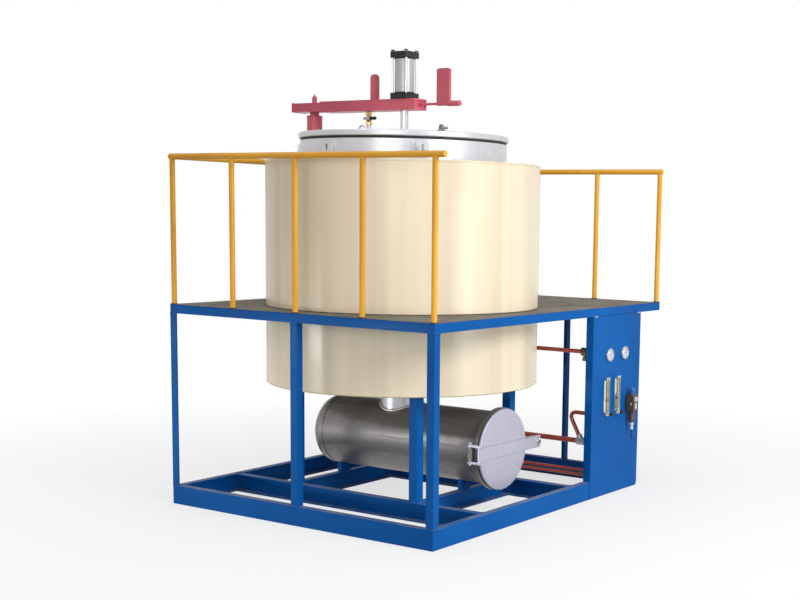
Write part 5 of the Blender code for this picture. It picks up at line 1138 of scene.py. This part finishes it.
def makeRegulator():
    low, high = corners("regulator")
    bottom, back = high.z - regulatorSet["bodyHeight"], high.y - regulatorSet["bodyBack"]
    x, y = (low.x + high.x) / 2, (low.y + back) / 2
    body, collars, plate, bowl, ports = (bmesh.new() for part in range(5))
    inX, inY, inZ = regulatorSet["bodyInset"]
    slab(body, (low.x + inX, low.y + inY, bottom), (high.x - inX, back, high.z - inZ))
    half, sink, edge = regulatorSet["mount"]
    slab(body, (x - half, back - sink, bottom + edge), (x + half, high.y, high.z - edge))
    casting = addPiece("regulator_casting", body, "frame", "regulator_metal", bevel=regulatorSet["round"])
    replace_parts(casting, "regulator")
    turned(collars, regulatorSet["collar"], (x, y, high.z - regulatorSet["collarDrop"]), sides=36)
    turned(collars, regulatorSet["lowerCollar"], (x, y, bottom), (0, 0, -1), 36)
    addPiece("regulator_collars", collars, "frame", "regulator_metal")
    front = low.y + regulatorSet["plateThick"]
    for name, sink in (("upperPlate", 0), ("lowerPlate", regulatorSet["lowerPlateSink"])):
        left, right, foot, head = regulatorSet[name]
        slab(plate, (x + left, low.y + sink, bottom + foot), (x + right, front, bottom + head))
    edge = regulatorSet["plateEdge"]
    addPiece("regulator_front_plate", plate, "frame", "zinc_plate", bevel=edge)
    height, z = regulatorSet["portHeight"], bottom + regulatorSet["portPlace"]
    for side, place in ((-1, low.x + inX), (1, high.x - inX)):
        spot = (place - side * regulatorSet["portSink"], y, z)
        hexagon(ports, spot, regulatorSet["portAcross"], height, (side, 0, 0))
    addPiece("regulator_ports", ports, "frame", "brass")
    profile = [*regulatorSet["bowlTop"]]
    for rib in range(regulatorSet["ribs"]):
        start = regulatorSet["ribStart"] + rib * regulatorSet["ribPitch"]
        profile += [(radius, start + rise) for radius, rise in regulatorSet["rib"]]
    profile += regulatorSet["bowlFoot"]
    turned(bowl, profile, (x, y, bottom - regulatorSet["bowlDrop"]), (0, 0, -1), 40)
    addPiece("regulator_bowl", bowl, "frame", "regulator_metal")
    spot = Vector((x, y, bottom - regulatorSet["drainDrop"]))
    form = {"ahead": (0, 0, -1), "sides": 40, "flutes": 12, "fluteDepth": 0.04}
    addTurned("regulator_drain", regulatorSet["drain"], spot, "frame", "white_plastic", "white_dial", **form)
    spot.z -= regulatorSet["drainLength"]
    wide, narrow = regulatorSet["tube"]
    profile = ((wide, 0), (wide, spot.z - low.z), (narrow, spot.z - low.z))
    addTurned("regulator_tube", profile, spot, "frame", "black_rubber", ahead=(0, 0, -1), sides=20)
    knobLow, knobHigh = corners("regulator_knob")
    profile = [*regulatorSet["gripFoot"]]
    profile += [(radius, knobHigh.z - knobLow.z + rise) for radius, rise in regulatorSet["gripHead"]]
    form = {"sides": 72, "flutes": 24, "fluteDepth": 0.05}
    spot = (x, y, knobLow.z)
    grip = addTurned("regulator_grip", profile, spot, "regulator_knob", "blue_plastic", "black_cap", **form)
    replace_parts(grip, "regulator_knob")
    # The white cap on the knob's top is a painted highlight where the knob catches the light
    spot = (x, y, knobHigh.z - regulatorSet["capSink"])
    profile = regulatorSet["cap"]
    addTurned("regulator_knob_highlight_cap", profile, spot, "regulator_knob", "white_plastic", "white_dial")


# Panel: screws down both sides and two tack welds on its top edge

panelSet = {
    "screwInset": 0.028, "screwTop": 0.045, "screwFoot": 0.05, "screwMiddle": -0.07,
    "screw": ((0.0075, 0), (0.0075, 0.0008), (0.006, 0.0026), (0.003, 0.0033), (0, 0.0035)),
    "tackInsets": (0.012, 0.045), "tackLength": 0.034, "tack": 0.004, "tackSink": 0.001,
}


def makePanelDetail():
    low, high = corners("control_panel")
    screws, tacks = bmesh.new(), bmesh.new()
    inset, middle = panelSet["screwInset"], (low.z + high.z) / 2 + panelSet["screwMiddle"]
    for x in (low.x + inset, high.x - inset):
        for z in (low.z + panelSet["screwFoot"], middle, high.z - panelSet["screwTop"]):
            turned(screws, panelSet["screw"], (x, low.y, z), (0, -1, 0), 22)
    addPiece("panel_screws", screws, "frame", "blue_paint")
    y = low.y + panelSet["tackSink"]
    for x in (low.x + panelSet["tackInsets"][0], high.x - panelSet["tackInsets"][1]):
        weldLine(tacks, (x, y, high.z), (x + panelSet["tackLength"], y, high.z), panelSet["tack"])
    addPiece("panel_tack_welds", tacks, "frame", "bright_weld", sharp=60)


# Pipe fittings: a union with a drain cock on the furnace's pipe and a tee on the tank's

pipeSet = {
    "unionBack": 0.095, "unionAcross": 0.050, "unionLength": 0.017, "unionGap": 0.021, "neck": 0.0225,
    "neckHalf": 0.006, "drainDrop": 0.012,
    "drain": ((0.010, 0), (0.010, 0.026), (0.015, 0.028), (0.015, 0.044), (0.010, 0.048), (0, 0.048)),
    "teeBack": 0.105, "teeInset": 0.025, "teeRadius": 0.0265, "teeHalf": 0.032, "teeRound": 0.003,
    "beadRadius": 0.0185, "bead": 0.004, "branch": ((0.0185, 0), (0.0185, 0.040), (0.0165, 0.043)),
    "branchAside": 0.004, "branchAhead": (0, 0.35, 1),
}


def makePipeFittings():
    furnace = middleOf("furnace_pipe")
    union, tee = bmesh.new(), bmesh.new()
    x, y, z = furnace.x, baseLow.y + pipeSet["unionBack"], furnace.z
    across, length, gap, neck = (pipeSet[word] for word in ("unionAcross", "unionLength", "unionGap", "neck"))
    for place in (y - gap, y + gap - length):
        hexagon(union, (x, place, z), across, length, (0, 1, 0))
    half = pipeSet["neckHalf"]
    turned(union, ((neck, -half), (neck, half)), (x, y, z), (0, 1, 0), 28)
    turned(union, pipeSet["drain"], (x, y, z - pipeSet["drainDrop"]), (0, 0, -1), 24)
    addPiece("furnace_pipe_union", union, "frame", "aged_brass")
    tankLow, tankHigh = corners("tank_pipe")
    radius, half, cut = pipeSet["teeRadius"], pipeSet["teeHalf"], pipeSet["teeRound"]
    x, z = tankHigh.x - pipeSet["teeInset"], tankLow.z + pipeSet["teeInset"]
    y = baseLow.y + pipeSet["teeBack"]
    ends = ((radius - cut, -half), (radius, cut - half), (radius, half - cut), (radius - cut, half))
    turned(tee, ends, (x, y, z), (0, 1, 0))
    for place in (y - half, y + half):
        weldRing(tee, (x, place, z), pipeSet["beadRadius"], pipeSet["bead"], (0, 1, 0))
    turned(tee, pipeSet["branch"], (x, y + pipeSet["branchAside"], z), pipeSet["branchAhead"], 28)
    addPiece("tank_pipe_tee", tee, "frame", "stainless")


makeFrameWelds()
makeRailingDetail()
makeShellTrim()
makeLidTop()
makeArmDetail()
makeCylinderDetail()
makePurgeValve()
makeReliefValve()
makeTankDetail()
makeDoorDetail()
for side in ("left", "right"):
    makeGauge(side)
    makeFlowmeter(side)
makeRegulator()
makePanelDetail()
makePipeFittings()
print("detail made")


# Every node that is shown as it is gets real rounded edges and smooth rounds

edgeSizes = {
    "base_frame": 0.0025, "base_joist_left": 0.0025, "base_joist_right": 0.0025, "base_cross_front": 0.0025,
    "base_cross_back": 0.0025, "deck_frame": 0.002, "deck_joist": 0.002, "deck_plate": 0.001,
    "furnace_shell": 0.0015, "shell_top_plate": 0.0015, "collar": 0.0015, "furnace_lid": 0.002,
    "lift_arm": 0.0015, "lock_lever": 0.002, "cylinder_base": 0.002, "cylinder_head": 0.0015,
    "waste_tank": 0.0012, "tank_door": 0.001, "clamp_bar": 0.0012, "control_panel": 0.0015,
}
dressSet = {"plainEdge": 0.0008, "merge": 0.00002, "flat": 0.4}

# The saddles under the tank belong to its node, and take the frame's blue

saddleSet = {"reach": 0.046, "thickness": 0.065, "top": 0.205}


def saddlePart(face):
    middle = face.calc_center_median()
    legs = (middleOf("furnace_leg_front_left").y, middleOf("furnace_leg_back_left").y)
    atLeg = min(abs(middle.y - leg) for leg in legs) < saddleSet["thickness"]
    return atLeg and abs(middle.x - axisX) < saddleSet["reach"] and middle.z < saddleSet["top"]


def paintSaddles(piece):
    piece.data.materials.append(finishes["blue_paint"])
    shape = bmesh.new()
    shape.from_mesh(piece.data)
    painted = 0
    for face in shape.faces:
        if saddlePart(face):
            face.material_index = 1
            painted += 1
    shape.to_mesh(piece.data)
    shape.free()
    print("saddle faces painted,", painted)


def dress(node):
    mesh = nodes[node].data
    slot = mesh.materials[0].name.split(".")[0]
    shape = bmesh.new()
    shape.from_mesh(mesh)
    bmesh.ops.remove_doubles(shape, verts=shape.verts, dist=dressSet["merge"])
    flat = math.radians(dressSet["flat"])
    bmesh.ops.dissolve_limit(shape, angle_limit=flat, verts=shape.verts, edges=shape.edges)
    edge = edgeSizes.get(node, dressSet["plainEdge"])
    piece = addPiece(node + "_dressed", shape, nodeBody[node], slot, bevel=edge)
    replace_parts(piece, node)
    return piece


for node in sorted(nodes):
    if not nodes[node].hide_render:
        piece = dress(node)
        if node == "waste_tank":
            paintSaddles(piece)
print("nodes dressed")


# Floor, background and light

studioSet = {
    "floorRadius": 22, "fadeFrom": 1.6, "fadeTo": 4.6, "fadeLeast": 0.68,
    "floorColour": (0.88, 0.88, 0.88), "floorBounce": (0.36, 0.36, 0.36), "worldLevel": 0.47,
    "lamps": (  # place, where it looks, width, height, power, spread
        ("keyLamp", (-1.3, -7.0, 5.0), (-0.3, 0.0, 1.2), 3.0, 3.0, 295, 180),
        ("frontLamp", (-0.6, -6.9, 1.2), (0.2, -0.6, 0.9), 2.4, 1.6, 44, 110),
        ("leftLamp", (-6.7, -2.6, 2.6), (-0.3, 0.0, 1.8), 3.0, 2.0, 7, 50),
        ("tankLamp", (-5.5, 3.9, 0.5), (-0.4, 0.0, 0.3), 2.6, 0.4, 5, 30),
        ("topLamp", (-0.6, 0.8, 7.4), (-0.3, 0.0, 2.0), 4.0, 4.0, 70, 180),
    ),
}


def seenDirectly(tree):
    rays = wire(tree, "LightPath", {}).outputs
    mirror = maths(tree, "ADD", rays["Is Glossy Ray"], rays["Is Transmission Ray"])
    return maths(tree, "ADD", rays["Is Camera Ray"], mirror)


def makeStudio():
    floorMesh = bmesh.new()
    bmesh.ops.create_circle(floorMesh, cap_ends=True, segments=96, radius=studioSet["floorRadius"])
    mesh = bpy.data.meshes.new("studioFloor")
    floorMesh.to_mesh(mesh)
    floorMesh.free()
    floor = placed("studioFloor", mesh)
    finish, tree, shader = newFinish("studioFloor")
    grain = clouds(tree, 3.0, 4.0)
    pale = studioSet["floorColour"]
    seen = blendColours(tree, grain, pale, [value * 0.985 for value in pale])
    body = blendColours(tree, seenDirectly(tree), studioSet["floorBounce"], seen)
    feed(tree, shader, {"Base Color": body, "Roughness": 0.9})
    place = wire(tree, "TexCoord", {}).outputs["Object"]
    away = wire(tree, "VectorMath", {0: place}, operation="LENGTH").outputs["Value"]
    fade = levels(tree, away, studioSet["fadeFrom"], studioSet["fadeTo"], studioSet["fadeLeast"], 1.0)
    white = wire(tree, "Emission", {"Color": (1, 1, 1, 1), "Strength": 1.0}).outputs[0]
    share = maths(tree, "MULTIPLY", fade, seenDirectly(tree))
    mixed = wire(tree, "MixShader", {0: share, 1: shader.outputs[0], 2: white})
    tree.links.new(mixed.outputs[0], tree.nodes["Material Output"].inputs["Surface"])
    mesh.materials.append(finish)

    world = bpy.data.worlds.new("studioWorld")
    world.use_nodes = True
    tree = world.node_tree
    strength = levels(tree, seenDirectly(tree), 0, 1, studioSet["worldLevel"], 1.0)
    feed(tree, tree.nodes["Background"], {"Color": (1, 1, 1, 1), "Strength": strength})
    bpy.context.scene.world = world

    for name, place, target, width, height, power, spread in studioSet["lamps"]:
        lamp = bpy.data.lights.new(name, "AREA")
        lamp.shape = "RECTANGLE"
        lamp.size = width
        lamp.size_y = height
        lamp.energy = power
        lamp.spread = math.radians(spread)
        holder = placed(name, lamp)
        holder.visible_camera = False
        holder.location = place
        holder.rotation_euler = (Vector(target) - Vector(place)).to_track_quat("-Z", "Y").to_euler()


makeStudio()
bpy.context.scene.view_settings.view_transform = "Standard"
print("studio lit")
